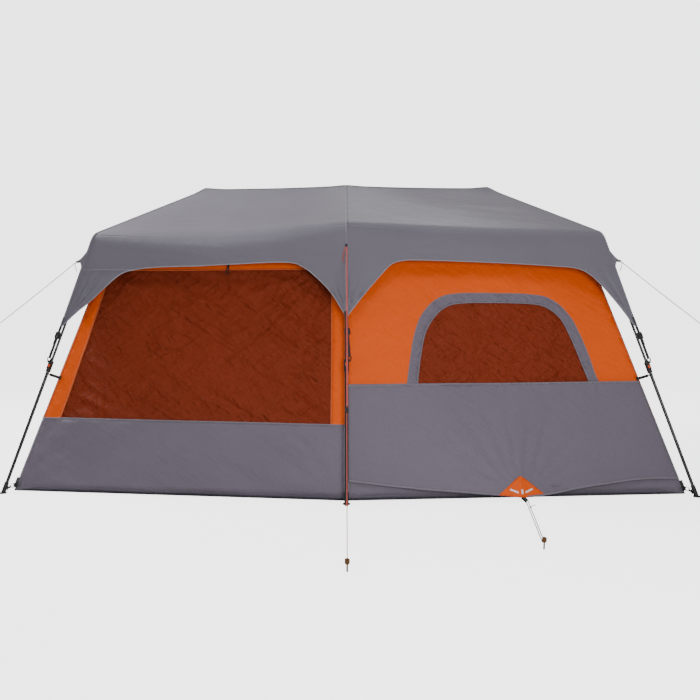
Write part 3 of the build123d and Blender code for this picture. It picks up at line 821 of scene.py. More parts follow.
def long_wall(sx, sy, split, holes, rings, tapes, seed, node, lines):
    """One half of the front or rear wall, with its tub and its lower fold, as one sewn sheet.

    split is where grey cloth meets orange: a height, or a function of x.
    """
    leg = corner_of(sx, sy)
    surface, n = long_surface(sx, sy, wall_relief(seed))
    far = corner_x(0.0)
    low = [(sx * x, float(tub_edge(x, far))) for x in np.linspace(EDGE, far - EDGE - 0.002, 60)]
    loop = low + [(sx * (corner_x(WALL_TOP) - EDGE), WALL_TOP), (sx * EDGE, WALL_TOP_MID)]
    piece = Piece(f"wall_sheet_{leg}")
    seams = [[(sx * EDGE, TUB_TOP), (sx * (corner_x(TUB_TOP) - EDGE), TUB_TOP)], *lines]
    key = banded([(split, "grey"), (ABOVE, "orange")], holes, rings, loop)
    piece.fill([loop, *holes, *rings], 0.030, key, surface, seams)
    xs = np.linspace(EDGE, far - 0.006, 70) * sx
    bottom = tub_edge(np.abs(xs), far)
    tub_fold(piece, bottom, lambda z, inward: np.stack([xs, sy * (wall_y(xs, z) - inward), z], -1))
    for path, width, mat in tapes:
        framed(piece, surface, n, path, width, mat)
    mid_change = split(0.0) if callable(split) else split
    for low, high, mat in ((0.04, mid_change, "trim"), (mid_change, WALL_TOP_MID - 0.01, "otrim")):
        framed(piece, surface, n, [(sx * 0.010, low), (sx * 0.010, high)], 0.016, mat)
    side_change = split(corner_x(mid_change)) if callable(split) else split
    for low, high, mat in ((0.04, side_change, "trim"), (side_change, WALL_TOP - 0.01, "otrim")):
        framed(piece, surface, n, [(sx * (corner_x(z) - 0.010), z) for z in (low, high)], 0.012, mat)
    wall_cloth(piece, leg, n, [node, "tub_wall"])


# How far behind the wall's face a pane hangs, and how far past its window's edge it reaches
NET_IN, CURTAIN_IN, NET_LAP, CURTAIN_LAP = 0.004, 0.016, 0.012, 0.030


def window(label, leg, surface_at, side, relief_at, loops, paces, node):
    """A window's net, and the curtain behind it."""
    for kind, sink, loop, pace, nodes, slot, held in (
        ("net", NET_IN, loops[0], paces[0], [node], "rust_mesh", "stretched"),
        ("curtain", CURTAIN_IN, loops[1], paces[1], [], "orange_cloth", "hung"),
    ):
        surface, n = surface_at(*side, relief_at, sink)
        piece = Piece(f"{kind}_{label}")
        piece.fill([np.asarray(loop)], pace, banded([(ABOVE, kind)], loop=loop), surface)
        wall_cloth(piece, leg, n, nodes, 0.0)


def front_window(leg, sx, seed, folds_at, hole, paces):
    relief_at = hung_in(wall_relief(seed), folds_at, hole)
    loops = (grown(hole, NET_LAP), grown(hole, CURTAIN_LAP))
    window(leg, leg, long_surface, (sx, -1), relief_at, loops, paces, f"window_{leg}")


def front_left():
    hole = WINDOW_LEFT
    lines = [[(-EDGE, 0.4491), (-0.094, 0.4497)], [(-1.874, 0.4617), (-(corner_x(0.462) - EDGE), 0.4625)]]
    seam = [(-(corner_x(0.462) - 0.01), 0.459), (-0.012, 0.446)]
    tapes = [(closed(hole)[1:], 0.010, "otrim"), (seam, 0.008, "trim")]

    def split(x):
        return 0.449 + 0.0068 * np.abs(x)

    long_wall(-1, -1, split, [hole], [], tapes, 61, "wall_front_left", lines)
    front_window("front_left", -1, 61, curtain_relief, hole, (0.017, 0.024))


def front_right():
    hole, ring, z = RING_INNER, RING_OUTER, SKIRT_TOP
    seam = [(0.012, 0.693), (corner_x(z) - 0.01, z)]
    lines = [[(EDGE, z), (0.386, z)], [(1.643, z), (corner_x(z) - EDGE, z)]]
    tapes = [(hole, 0.007, "trim"), (ring, 0.007, "trim"), (seam, 0.010, "trim")]
    long_wall(1, -1, z, [hole], [ring], tapes, 71, "wall_front_right", lines)
    front_window("front_right", 1, 71, drape_relief, hole, (0.018, 0.026))


def rear_walls():
    hole, z = DOOR_EDGE, GREY_TOP
    lines = [[(-EDGE, z), (-0.967, z)], [(-1.844, z), (-(corner_x(z) - EDGE), z)]]
    tapes = [(grown(hole, 0.014), 0.022, "zip"), ([(-0.012, z), (-0.94, z)], 0.008, "trim")]
    long_wall(-1, 1, z, [hole], [], tapes, 81, "wall_rear_left", lines)
    tapes = [([(0.012, z), (corner_x(z) - 0.01, z)], 0.008, "trim")]
    long_wall(1, 1, z, [], [], tapes, 91, "wall_rear_right", [[(EDGE, z), (corner_x(z) - EDGE, z)]])
    door = Piece("door_sheet")
    surface, n = long_surface(-1, 1, wall_relief(81))
    loop = grown(hole, -0.004)
    key = banded([(z, "grey"), (ABOVE, "orange")], loop=loop)
    door.fill([loop], 0.030, key, surface, [[(-1.838, z), (-0.975, z)]])
    framed(door, surface, n, [(-1.835, z), (-0.985, z)], 0.008, "trim")
    framed(door, surface, n, grown(loop, -0.014)[2:-2], 0.020, "zip", 0.0016)
    framed(door, surface, n, grown(loop, -0.008)[2:-2], 0.006, "zipmetal", 0.0028)
    pull = surface(vec(-0.975), vec(0.62))[0] + n * 0.006
    door.tube([pull + vec(0, 0, 0.02), pull, pull - vec(0, 0, 0.05)], 0.0035, "zipmetal", sides=6)
    wall_cloth(door, "rear_left", n, ["door_panel"], body="door")


def end_wall(sx, sy):
    """Half of an end wall, with half of its window."""
    leg = corner_of(sx, sy)
    wall = end_relief(101 if sx < 0 else 111)
    surface, n = end_surface(sx, wall)
    inner = END_RING_INNER[END_RING_INNER[:, 0] * sy > 0]
    outer = END_RING_OUTER[END_RING_OUTER[:, 0] * sy > 0]
    turn = 1 if sy < 0 else -1
    hole = np.concatenate([inner, [(0.0, END_HIGH), (0.0, END_LOW)][::turn]])
    ring = np.concatenate([outer, [(0.0, END_HIGH + END_BORDER), (0.0, END_LOW)][::turn]])
    far = corner_y(0.0)
    low = [(sy * y, float(tub_edge(y, far))) for y in np.linspace(0.0, far - 0.004, 40)]
    loop = low + [(sy * (corner_y(WALL_TOP) - 0.003), WALL_TOP), (0.0, WALL_TOP)]
    key = banded([(GREY_TOP, "grey"), (ABOVE, "orange")], [hole], [ring], loop)
    piece = Piece(f"wall_sheet_end_{leg}")
    seam = [(0.0, GREY_TOP), (sy * (corner_y(GREY_TOP) - EDGE), GREY_TOP)]
    piece.fill([loop, hole, ring], 0.032, key, surface, [seam])
    ys = np.linspace(0.0, far - 0.006, 44) * sy
    bottom = tub_edge(np.abs(ys), far)
    tub_fold(piece, bottom, lambda z, inward: np.stack([sx * (corner_x(z) - inward), ys, z], -1))
    under = [(0.0, END_LOW - 0.004), (sy * 0.80, END_LOW - 0.004)]
    for path, width in ((seam, 0.008), (inner, 0.007), (outer, 0.007), (under, 0.010)):
        framed(piece, surface, n, path, width, "trim")
    wall_cloth(piece, leg, n, [f"wall_end_{leg.split('_')[1]}", "tub_wall"])
    relief_at = hung_in(wall, drape_relief, END_RING_INNER[END_RING_INNER[:, 0] > -1e-9])
    window(f"end_{leg}", leg, end_surface, (sx,), relief_at, (hole, hole), (0.034, 0.030), "windows_end")


# ---------------------------------------------------------------- skirt
PATCH_X = 1.062
SKIRT_HEM = smooth_path(
    [(0.014, 0.113), (0.350, 0.078), (0.700, 0.052), (0.950, 0.036), (1.100, 0.030), (1.270, 0.041)]
    + [(1.550, 0.074), (1.850, 0.098), (2.064, 0.096)],
    8,
)
SKIRT_NORMAL = unit(vec(BULGE, -1, LEAN_Y))


def skirt_top(x):
    return SKIRT_TOP + 0.0072 * x


def skirt_hem(x):
    return np.interp(x, SKIRT_HEM[:, 0], SKIRT_HEM[:, 1])


def skirt_pull(x):
    """How far the hem is drawn forward of the wall."""
    left, right = np.clip(x / PATCH_X, 0, 1), np.clip((2.08 - x) / (2.08 - PATCH_X), 0, 1)
    return 0.128 * np.minimum(left, right) ** 1.35


def skirt_point(x, t):
    """Point on the skirt: t is 0 at its top seam and 1 at its hem."""
    z = skirt_top(x) + (skirt_hem(x) - skirt_top(x)) * t
    off = 0.010 + skirt_pull(x) * t**1.15
    pucker = 0.004 * folds(x, z, 1.5, 0.25, 0.045, 131) * bell(t, 0.16) * step(0.0, 0.03, t)
    soft = 0.006 * fbm(x * 1.5, z * 1.7, 133, 2) * step(0.0, 0.2, t)
    pull = 0.004 * rays(x, -z, PATCH_X, -0.03, 21, 7, 0.16, 0.75)
    low = 0.006 * folds(x, z, -0.10, 0.7, 0.07, 139) * bell(1 - t, 0.22)
    out = off + (pucker + soft + pull + low) * step(0.0, 0.06, x) * step(0.0, 0.06, 2.07 - x)
    return np.stack([x, -(wall_y(x, z) + out), z], -1)


def on_skirt(x, z, lift):
    t = np.clip((z - skirt_top(x)) / (skirt_hem(x) - skirt_top(x)), 0, 1)
    return skirt_point(x, t) + SKIRT_NORMAL * np.asarray(lift)[..., None]


def patch_ridge(x):
    """The orange patch stands up along its middle, where the cord pulls it."""
    return 0.010 * bell(x - PATCH_X, 0.022)


def skirt():
    leg, n = "front_right", SKIRT_NORMAL
    rows, cols = 40, 120
    t = np.linspace(0, 1, rows)[:, None] * np.ones((1, cols))
    right = corner_x(0.70 + (0.1 - 0.70) * t) - 0.012
    x = 0.014 + (right - 0.014) * np.linspace(0, 1, cols)[None, :]
    points = skirt_point(x, t)
    flat = np.stack([x, points[..., 2]], -1)
    piece = Piece("skirt_sheet")
    piece.grid(points, "grey", flat)
    piece.cut(points, flat)
    piece.ribbon(points[-1] + vec(0, 0, 0.006), n, 0.012, "trim")
    piece.ribbon(points[0] - vec(0, 0, 0.004), n, 0.012, "trim", 0.002)
    wall_cloth(piece, leg, n, ["skirt_front_right"])

    patch = Piece("skirt_patch")
    outline = [(0.0, 0.150), (0.022, 0.138), (0.150, 0.038), (0.02, 0.0305), (-0.142, 0.040), (-0.022, 0.138)]
    outline = [(PATCH_X + x, z) for x, z in outline]
    patch.fill(
        [np.array(outline)], 0.011, banded([(ABOVE, "orange")], loop=outline),
        lambda x, z: on_skirt(x, z, 0.004 + patch_ridge(x) * step(0.155, 0.06, z)),
    )
    # three plain bars in place of the printed mark: middle, size and lean of each
    for dx, z, w, h, lean in (
        (-0.046, 0.066, 0.052, 0.011, -0.35),
        (0.0, 0.062, 0.012, 0.026, 0.0),
        (0.046, 0.066, 0.052, 0.011, 0.35),
    ):
        c, s = math.cos(lean), math.sin(lean)
        u, v = np.meshgrid(np.linspace(-w / 2, w / 2, 9), np.linspace(-h / 2, h / 2, 4))
        x = PATCH_X + dx + u * c - v * s
        patch.grid(on_skirt(x, z + u * s + v * c, 0.0058 + patch_ridge(x)), "white")
    wall_cloth(patch, leg, n, [], thick=0.0008)

    tab = Piece("skirt_tab")
    top = on_skirt(vec(PATCH_X + 0.004), vec(0.034), vec(0.0))[0]
    path = [top + vec(0, 0.004, 0.012), top + vec(0, -0.010, -0.004), vec(1.088, -1.626, 0.012)]
    tab.strap(path, vec(0, -1, 0.4), 0.026, "black")
    trim(tab, f"upper_{leg}", squash=leg_squash(leg, n))


# ---------------------------------------------------------------- floor
def floor_half(sy, way):
    piece = Piece(f"floor_sheet_{way}")
    x, y = WALL_CORNER_X - 0.008, WALL_CORNER_Y - 0.008
    loop = [(-x, sy * 0.001), (x, sy * 0.001), (x, sy * y), (0, sy * (WALL_MID_Y - 0.008)), (-x, sy * y)]
    loop = np.array(loop)

    def surface(x, y):
        side = np.minimum(WALL_CORNER_X - np.abs(x), WALL_MID_Y - BULGE * np.abs(x) - np.abs(y))
        soft = 0.0022 * (1 + folds(x, y, 0.3, 0.7, 0.12, 151)) * step(0.02, 0.2, side)
        return np.stack([x, y, 0.0016 + soft], -1)

    # the floor is in the tub cloth, whose darker colour is painted shade
    piece.fill([loop], 0.055, banded([(ABOVE, "tub")], loop=loop), surface)
    squash = ("fold", (1, 0, 0), (0, sy * 1.588, 0), 0.05)
    body, leg = f"floor_{way}", f"leg_upper_{way}_mid"
    sheet(piece, body, [body], squash, (0, 0, 1))


# ---------------------------------------------------------------- fly
def seam_at(k, z):
    """The fly's corner seam along axis k at a height. It stands outside the leg, less so towards its tip."""
    out = FLY_OUT - FLY_IN * (EAVE_Z - z) / (EAVE_Z - CORNER_TIP)
    return CORNER_EAVE[k] + (CORNER_FOOT[k] - CORNER_EAVE[k]) * (CORNER_EAVE[2] - z) / CORNER_EAVE[2] + out


def seam_x(z):
    return seam_at(0, z)


def seam_y(z):
    return seam_at(1, z)


SEAM_HIGH = vec(seam_x(EAVE_Z), seam_y(EAVE_Z), EAVE_Z)
SEAM_LOW = vec(seam_x(CORNER_TIP), seam_y(CORNER_TIP), CORNER_TIP)
FRONT_CROSS = np.cross(vec(*FLY_MID) - SEAM_HIGH, SEAM_LOW - SEAM_HIGH)
FRONT_NORMAL = unit(FRONT_CROSS if FRONT_CROSS[1] > 0 else -FRONT_CROSS)
END_NORMAL = unit(vec(1, 0, 0.2982))


def front_y(x, z):
    """The plane of the front valance."""
    a, b, c = FRONT_CROSS
    return SEAM_HIGH[1] - (a * (x - SEAM_HIGH[0]) + c * (z - SEAM_HIGH[2])) / b


# The hems: how far from the middle, and height
HEM_LEFT = [(0, 1.115), (0.013, 1.146), (0.107, 1.291), (0.224, 1.407), (0.300, 1.458), (0.370, 1.478)]
HEM_LEFT += [(0.550, 1.479), (0.963, 1.462), (1.240, 1.456), (1.400, 1.440), (1.503, 1.408), (1.605, 1.320)]
HEM_LEFT += [(1.724, 1.206), (1.829, 1.112), (1.879, 1.062)]
HEM_RIGHT = [(0, 1.115), (0.019, 1.146), (0.120, 1.276), (0.237, 1.412), (0.300, 1.470), (0.375, 1.491)]
HEM_RIGHT += [(0.458, 1.494), (0.757, 1.488), (1.052, 1.478), (1.356, 1.460), (1.500, 1.447), (1.579, 1.418)]
HEM_RIGHT += [(1.654, 1.354), (1.787, 1.191), (1.840, 1.112), (1.879, 1.062)]
HEM_END = [(0, 1.470), (0.30, 1.468), (0.60, 1.455), (0.78, 1.425), (0.90, 1.360), (1.02, 1.250)]
HEM_END += [(1.12, 1.160), (1.195, 1.085), (1.218, 1.062)]

SEAM_TAPE = ("trim", 0.0014, 0.0008)  # what it is made of, how far it lies off the cloth, and its crown


def hem_of(points, far, u):
    """A hem's height at each share of the way from the middle to the corner seam."""
    share = [x / far(z) for x, z in points]
    line = smooth_path(list(zip(share, [z for _, z in points])), 10)
    return np.interp(u, np.maximum.accumulate(line[:, 0]), line[:, 1])


def bend(depth, top, eave, below, radius):
    """One row across the fly, rounded where it turns over the eave. depth is negative above the eave."""
    rise = np.linalg.norm(top - eave, axis=-1)
    way = (top - eave) / np.maximum(rise, 1e-9)[..., None]
    r = np.minimum(radius, 0.45 * rise)
    straight = np.where((depth < 0)[..., None], eave + way * (-depth)[..., None], below(np.maximum(depth, 0)))
    t = np.clip(0.5 * (1 + depth / r), 0, 1)[..., None]
    curve = (1 - t) ** 2 * (eave + way * r[..., None]) + 2 * t * (1 - t) * eave + t**2 * below(r)
    return np.where((np.abs(depth) < r)[..., None], curve, straight)


def hub_bump(p):
    """The cloth stands a little proud over each hub."""
    ax, ay = np.abs(p[..., 0]), np.abs(p[..., 1])
    end = 0.010 * np.exp(-((ax - FLY_END[0]) ** 2 + ay**2) / 0.09**2)
    return end + 0.006 * np.exp(-(ax**2 + ay**2) / 0.10**2)


def normals_of(p, outward):
    n = units(np.cross(np.gradient(p, axis=1), np.gradient(p, axis=0)))
    flip = np.sign((n * outward).sum(-1, keepdims=True))
    return n * np.where(flip == 0, 1, flip)


class Slope:
    """One slope of a quarter of the fly, on positive axes.

    kind is "front" (front or rear) or "end". u runs from the slope's middle (0) to the corner seam (1).
    """

    def __init__(self, kind, sx, sy):
        self.kind, self.front, self.sx, self.sy = kind, kind == "front", sx, sy
        self.leg, self.mirror = corner_of(sx, sy), vec(sx, sy, 1)
        self.seed = 201 + 10 * (sx > 0) + 20 * (sy > 0)
        self.u = u = 0.5 - 0.5 * np.cos(np.pi * np.linspace(0, 1, 112 if self.front else 72))
        if self.front:
            droop = 0.040 if (sx, sy) == (-1, -1) else 0.012
            self.eave_z = FLY_MID[2] + (EAVE_Z - FLY_MID[2]) * u - droop * np.sin(np.pi * u) ** 1.2
            ridge_z = FLY_RIDGE[2] + (FLY_END[2] - FLY_RIDGE[2]) * u - 0.006 * np.sin(np.pi * u)
            self.top = np.stack([FLY_END[0] * u, 0 * u, ridge_z], -1)
            self.radius = 0.045 + 0.085 * np.sin(np.pi * u)
        else:
            self.eave_z = EAVE_Z - 0.022 * (1 - u**2)
            self.top = np.stack([FLY_END[0] + 0 * u, 0 * u, FLY_END[2] + 0 * u], -1)
            self.radius = 0.045 + 0.06 * (1 - u**4)
        self.eave = self.below(0)

    def below(self, depth):
        """The points this far below the eave."""
        u, z = self.u, self.eave_z - depth
        if self.front:
            return np.stack([u * seam_x(z), front_y(u * seam_x(z), z), z], -1)
        return np.stack([seam_x(z), u * seam_y(z), z], -1)

    def rows(self, depths):
        return np.stack([bend(d, self.top, self.eave, self.below, self.radius) for d in depths], 0)

    def between_arms(self, piece, node, thick):
        """A sheet over or under the arms, hung on its arm; the fold in its own plane towards that arm is
        worked out but not applied.
        """
        sx, sy = self.sx, self.sy
        hip = vec(sx * FLY_END[0], 0, FLY_END[2])
        arm = unit(vec(sx * CORNER_EAVE[0], sy * CORNER_EAVE[1], CORNER_EAVE[2]) - hip)
        if self.front:
            down = unit(vec(sx * 0.3, sy * 0.9, 1.7) - vec(0, 0, FLY_RIDGE[2]))
            face = unit(np.cross(vec(1, 0, 0), down))
        else:
            face = unit(vec(sx * 0.475, 0, 0.576))
        gather = ("fold", np.cross(face, arm), hip, 0.05)
        body, rests = f"arm_{self.leg}", f"roof_arm_{self.leg}"
        sheet(piece, body, [node], gather, (0, 0, 1), thick)

    def roof(self):
        u, seed, mirror = self.u, self.seed, self.mirror
        far = 1.71 if self.front else 1.10
        length = np.linalg.norm(self.eave - self.top, axis=-1)
        v = 1 - (1 - np.linspace(0, 1, 44)) ** 1.35
        depth = -(1 - v[:, None]) * length[None, :]
        uu = np.broadcast_to(u, depth.shape)
        p = self.rows(depth)
        n = normals_of(p, vec(0, 0.5, 1) if self.front else vec(0.5, 0, 1))
        edge = np.sin(np.pi * np.clip(uu, 0, 1)) if self.front else np.cos(np.pi / 2 * uu)
        high = np.sin(np.pi * v)[:, None]
        sag = -0.020 * edge * high - 0.004 * edge * bell(v - 0.85, 0.2)[:, None]
        x, y = uu * far, v[:, None] * length[None, :]
        soft = 0.006 * fbm(x * 1.5, y * 1.5, seed, 2) + 0.0015 * folds(x, y, 0.3, 0.8, 0.14, seed + 4)
        soft = soft * edge * high * step(0.0, 0.25, uu)
        pull = 0.0035 * rays(x, -y, far, -float(length[-1]), 15, seed, 0.15, 0.6) * edge * high
        p = p + n * (sag + soft + pull)[..., None]
        p[..., 2] += hub_bump(p)
        if self.front:
            uv = np.stack([p[..., 0], np.hypot(p[..., 1], FLY_RIDGE[2] - p[..., 2])], -1)
        else:
            uv = np.stack([p[..., 1] + 5.0, np.hypot(p[..., 0] - FLY_END[0], FLY_END[2] - p[..., 2])], -1)
        piece = Piece(f"fly_roof_{self.kind}_{self.leg}")
        piece.grid(p * mirror, "fly", uv)
        piece.cut(p, uv)
        if self.front:
            piece.ribbon(p[:, -1] * mirror, n[:, -1] * mirror, 0.014, *SEAM_TAPE)
            if self.sy < 0:
                piece.ribbon(p[0] * mirror, vec(0, 0, 1), 0.014, *SEAM_TAPE)
            if self.sx < 0:
                piece.ribbon(p[:, 0] * mirror, n[:, 0] * mirror, 0.012, *SEAM_TAPE)
        self.between_arms(piece, "rain_fly", 0.0012)

    def valance(self):
        u, seed, mirror = self.u, self.seed, self.mirror
        if self.front:
            hem = hem_of(HEM_LEFT if self.sx < 0 else HEM_RIGHT, seam_x, u)
        else:
            hem = hem_of(HEM_END, seam_y, u)
        w = np.linspace(0, 1, 30) ** 1.15
        depth = w[:, None] * (self.eave_z - hem)[None, :]
        p = self.rows(depth)
        out = FRONT_NORMAL if self.front else END_NORMAL
        n = normals_of(p, out)
        x, z = p[..., 0 if self.front else 1], p[..., 2]
        uu = np.broadcast_to(u, depth.shape)
        inner = step(0.0, 0.05, 1 - uu) * step(0.0, 0.05, depth)
        tip = (seam_x if self.front else seam_y)(CORNER_TIP)
        pull = 0.0075 * rays(x, -z, tip, -CORNER_TIP, 34, seed + 1, 0.12, 0.50)
        soft = 0.005 * fbm(x * 1.8, z * 1.8, seed + 5, 2) + 0.0012 * folds(x, z, 0.1, 0.6, 0.07, seed + 6)
        if self.front:
            pull = pull + 0.0055 * rays(x, -z, 0.0, -MID_TIP, 30, seed + 2, 0.10, 0.42)
            billow = -0.012 * np.sin(np.pi * uu) * step(0, 0.3, depth)
            middle = step(0.0, 0.012, uu)
        else:
            soft = soft * step(0.0, 0.25, uu)
            billow = -0.010 * np.cos(np.pi / 2 * uu) * step(0, 0.3, depth)
            middle = 1.0
        p = p + n * ((pull + soft * step(0, 0.08, depth)) * inner * middle + billow * inner)[..., None]
        uv = np.stack([x + (0.0 if self.front else 5.0), 3 - z], -1)
        pm, nm = p * mirror, n * mirror
        piece = Piece(f"fly_valance_{self.kind}_{self.leg}")
        piece.grid(pm, "fly", uv)
        piece.cut(p, uv)
        # the piping along the hem, lighter as a painted highlight
        piece.tube(pm[-1] + nm[-1] * 0.001, 0.0030, "piping", sides=6)
        piece.ribbon(pm[:, -1], nm[:, -1], 0.012, *SEAM_TAPE)
        seam, level = [], 1.437  # the gusset's seam, level across the corner
        for j in np.flatnonzero((hem < level - 0.004) & (u > 0.5)):
            up = p[::-1, j]
            seam.append([np.interp(level, up[:, 2], up[:, k]) for k in range(3)])
        piece.ribbon(np.array(seam) * mirror, out * mirror, 0.007, "trim", 0.0016)
        if not self.front:
            self.side_tab(piece)
        elif self.sx < 0:
            piece.ribbon(pm[:, 0], nm[:, 0], 0.010, *SEAM_TAPE)
            if self.sy < 0:
                at = vec(0, -1.2935, 1.583)  # the loop that holds the front guy line
                loop = [at + vec(0, 0.002, 0.012), at + vec(0, -0.002, 0.002), at + vec(0, -0.004, -0.006)]
                piece.strap(loop, vec(0, -1, 0.2), 0.013, "black")
        wall_cloth(piece, self.leg, out * mirror, ["rain_fly"])

    def side_tab(self, piece):
        """The cloth tab at the corner seam that holds a side guy line."""
        low, high, tip = 1.452, 1.566, vec(1.806, 1.152, 1.492)
        s = np.linspace(0, 1, 9)[:, None]
        t = np.linspace(0, 1, 12)[None, :]
        narrow = 0.50 + (s - 0.50) * (1 - t) ** np.where(s < 0.5, 1.0, 1.6)
        z = high + (low - high) * narrow
        base = np.stack([seam_x(z), seam_y(z), z], -1)
        tab = base * (1 - t)[..., None] + tip * t[..., None]
        tab[..., 0] += 0.003
        tab = tab * self.mirror
        piece.grid(tab, "fly")
        # the tab's edges in the piping, lighter as a painted highlight
        piece.tube(tab[0], 0.002, "piping", sides=6)
        piece.tube(tab[-1], 0.002, "piping", sides=6)
        way = unit(tip - vec(seam_x(1.5), seam_y(1.5), 1.5))
        path = [(tip + way * d) * self.mirror for d in (-0.020, -0.006, 0.004)]
        piece.strap(path, vec(0, self.sy, 0.3), 0.016, "black")

    def ceiling(self):
        """The mesh ceiling under the slope."""
        u, v = np.linspace(0, 1, 24), np.linspace(0, 1, 18)
        end = vec(*CEILING_END)
        corner = vec(corner_x(WALL_TOP), corner_y(WALL_TOP), WALL_TOP)
        if self.front:
            top, low = vec(*CEILING_RIDGE), vec(0.0, wall_y(0.0, WALL_TOP_MID), WALL_TOP_MID)
        else:
            top, low = end, vec(corner_x(WALL_TOP), 0.0, WALL_TOP)
        a, b = top + (end - top) * u[:, None], low + (corner - low) * u[:, None]
        p = a[None] * (1 - v[:, None, None]) + b[None] * v[:, None, None]
        across = np.sin(np.pi * u) if self.front else np.cos(np.pi / 2 * u)
        p[..., 2] -= 0.030 * across[None, :] * np.sin(np.pi * v)[:, None]
        if self.front:
            uv = np.stack([p[..., 0], np.hypot(p[..., 1], 2.1 - p[..., 2])], -1)
        else:
            uv = np.stack([p[..., 1], np.hypot(p[..., 0] - end[0], end[2] - p[..., 2])], -1)
        piece = Piece(f"ceiling_{self.kind}_{self.leg}")
        piece.grid(p * self.mirror, "ceiling", uv)
        piece.cut(p, uv)
        self.between_arms(piece, "mesh_ceiling", 0.0)


# ---------------------------------------------------------------- straps and ties
def ring_path(centre, axis, radius, n=20):
    axis = unit(axis)
    ref = vec(0, 0, 1) if abs(axis[2]) < 0.9 else vec(1, 0, 0)
    a = unit(np.cross(axis, ref))
    b = np.cross(axis, a)
    t = np.arange(n) / n * 2 * math.pi
    return centre + radius * (np.cos(t)[:, None] * a + np.sin(t)[:, None] * b)


def frame_path(centre, u, v, w, h):
    """Rounded rectangle, w along u and h along v."""
    r = 0.004
    out = []
    for k, (a, b) in enumerate(((1, 1), (-1, 1), (-1, -1), (1, -1))):
        for t in np.linspace(0, math.pi / 2, 4) + k * math.pi / 2:
            east, north = a * (w / 2 - r) + r * math.cos(t), b * (h / 2 - r) + r * math.sin(t)
            out.append(centre + u * east + v * north)
    return np.array(out)


def fly_strap(leg):
    """The strap with its ladder buckle, from the fly's tip down to the collar."""
    sx, sy = signs(leg)
    up, front, _ = leg_axes(leg)
    link = on_leg(leg, LINK_UP, (sx * -sy if sx else 1) * LINK_SIDE)
    if sx:
        tip = vec(sx * seam_x(CORNER_TIP), sy * seam_y(CORNER_TIP), CORNER_TIP)
    else:
        tip = vec(0, sy * front_y(0, MID_TIP), MID_TIP)
    start = link + up * 0.010
    way = unit(tip - start)
    flat = unit(front - way * (front @ way))
    across = np.cross(way, flat)
    reach = np.linalg.norm(tip - start)
    mid = reach * 0.66  # where the buckle sits
    piece = Piece(f"fly_strap_{leg}")
    # the triangular ring on the collar, along way, across and up
    ring = [(0, 0, -0.0175), (0, 0.006, -0.014), (0.004, 0.0125, 0), (0.008, 0, 0), (0.004, -0.0125, 0)]
    ring = closed(placed(start, (way, across, up), [*ring, (0, -0.006, -0.014)]))
    piece.tube(along_path(ring, 0.006)[:-1], 0.0036, "plastic", closed=True, sides=6)
    plate = start + way * mid + flat * 0.002
    piece.tube(frame_path(plate, across, way, 0.031, 0.040), 0.0028, "plastic", closed=True, sides=6)
    piece.strap(placed(plate, [way], [[-0.019], [0.019]]), flat, 0.028, "plastic", 0.0022)
    for d in (-0.008, 0.004):
        bar = placed(plate, (way, across), [(d, 0.014 * k) for k in (-1, 0, 1)])
        piece.tube(bar, 0.0019, "plastic", sides=6)
    # the webbing, along way and flat
    for width, n, path in (
        (0.0165, 4, [(0.006, 0), (0.02, 0.002), (mid - 0.010, 0.002)]),
        (0.0165, 3, [(0.006, 0.003), (0.05, 0.0045)]),
        (0.0165, 4, [(mid + 0.004, 0.003), (mid + reach * 0.17, 0.002), (reach - 0.004, 0)]),
        (0.014, 4, [(mid, 0.006), (mid - 0.02, 0.016), (mid - 0.065, 0.015)]),
    ):
        piece.strap(smooth_path(placed(start, (way, flat), path), n), flat, width, "black")
    out = unit(vec(sx, sy, 0)) if sx else vec(0, sy, 0)
    cap = placed(tip, (way, out), [(-0.010, 0.003), (0.012, 0.004), (0.045, 0.003)])
    piece.strap(cap, out, 0.022, "black", 0.0022)
    trim(piece, f"upper_{leg}", ["fly_straps"], squash=(f"leg_{leg}", way, tip, 0.12))


def wall_clip(leg):
    """The hook and tape that tie the wall to its leg."""
    sx, sy = signs(leg)
    up = leg_axes(leg)[0]
    hook = on_leg(leg, HOOK_UP)
    z = hook[2]
    x = sx * corner_x(z) * 0.99
    to_wall = vec(x, sy * wall_y(x, z), z) - hook
    way = unit(to_wall - up * (to_wall @ up))
    reach = to_wall @ way
    flat = unit(np.cross(up, way))
    piece = Piece(f"wall_clip_{leg}")
    piece.tube(ring_path(hook, up, 0.0128), 0.0019, "plastic", closed=True, sides=6)
    piece.tube(placed(hook, [way], [[0.0125], [0.024]]), 0.0042, "plastic")
    piece.strap(placed(hook, [way], [[0.021], [reach * 0.6], [reach - 0.003]]), flat, 0.018, "black")
    patch = placed(hook, (way, up), [(reach - 0.016, 0), (reach - 0.002, 0.001)])
    piece.strap(patch, flat, 0.026, "black", 0.004)
    trim(piece, f"upper_{leg}", ["wall_ties"])


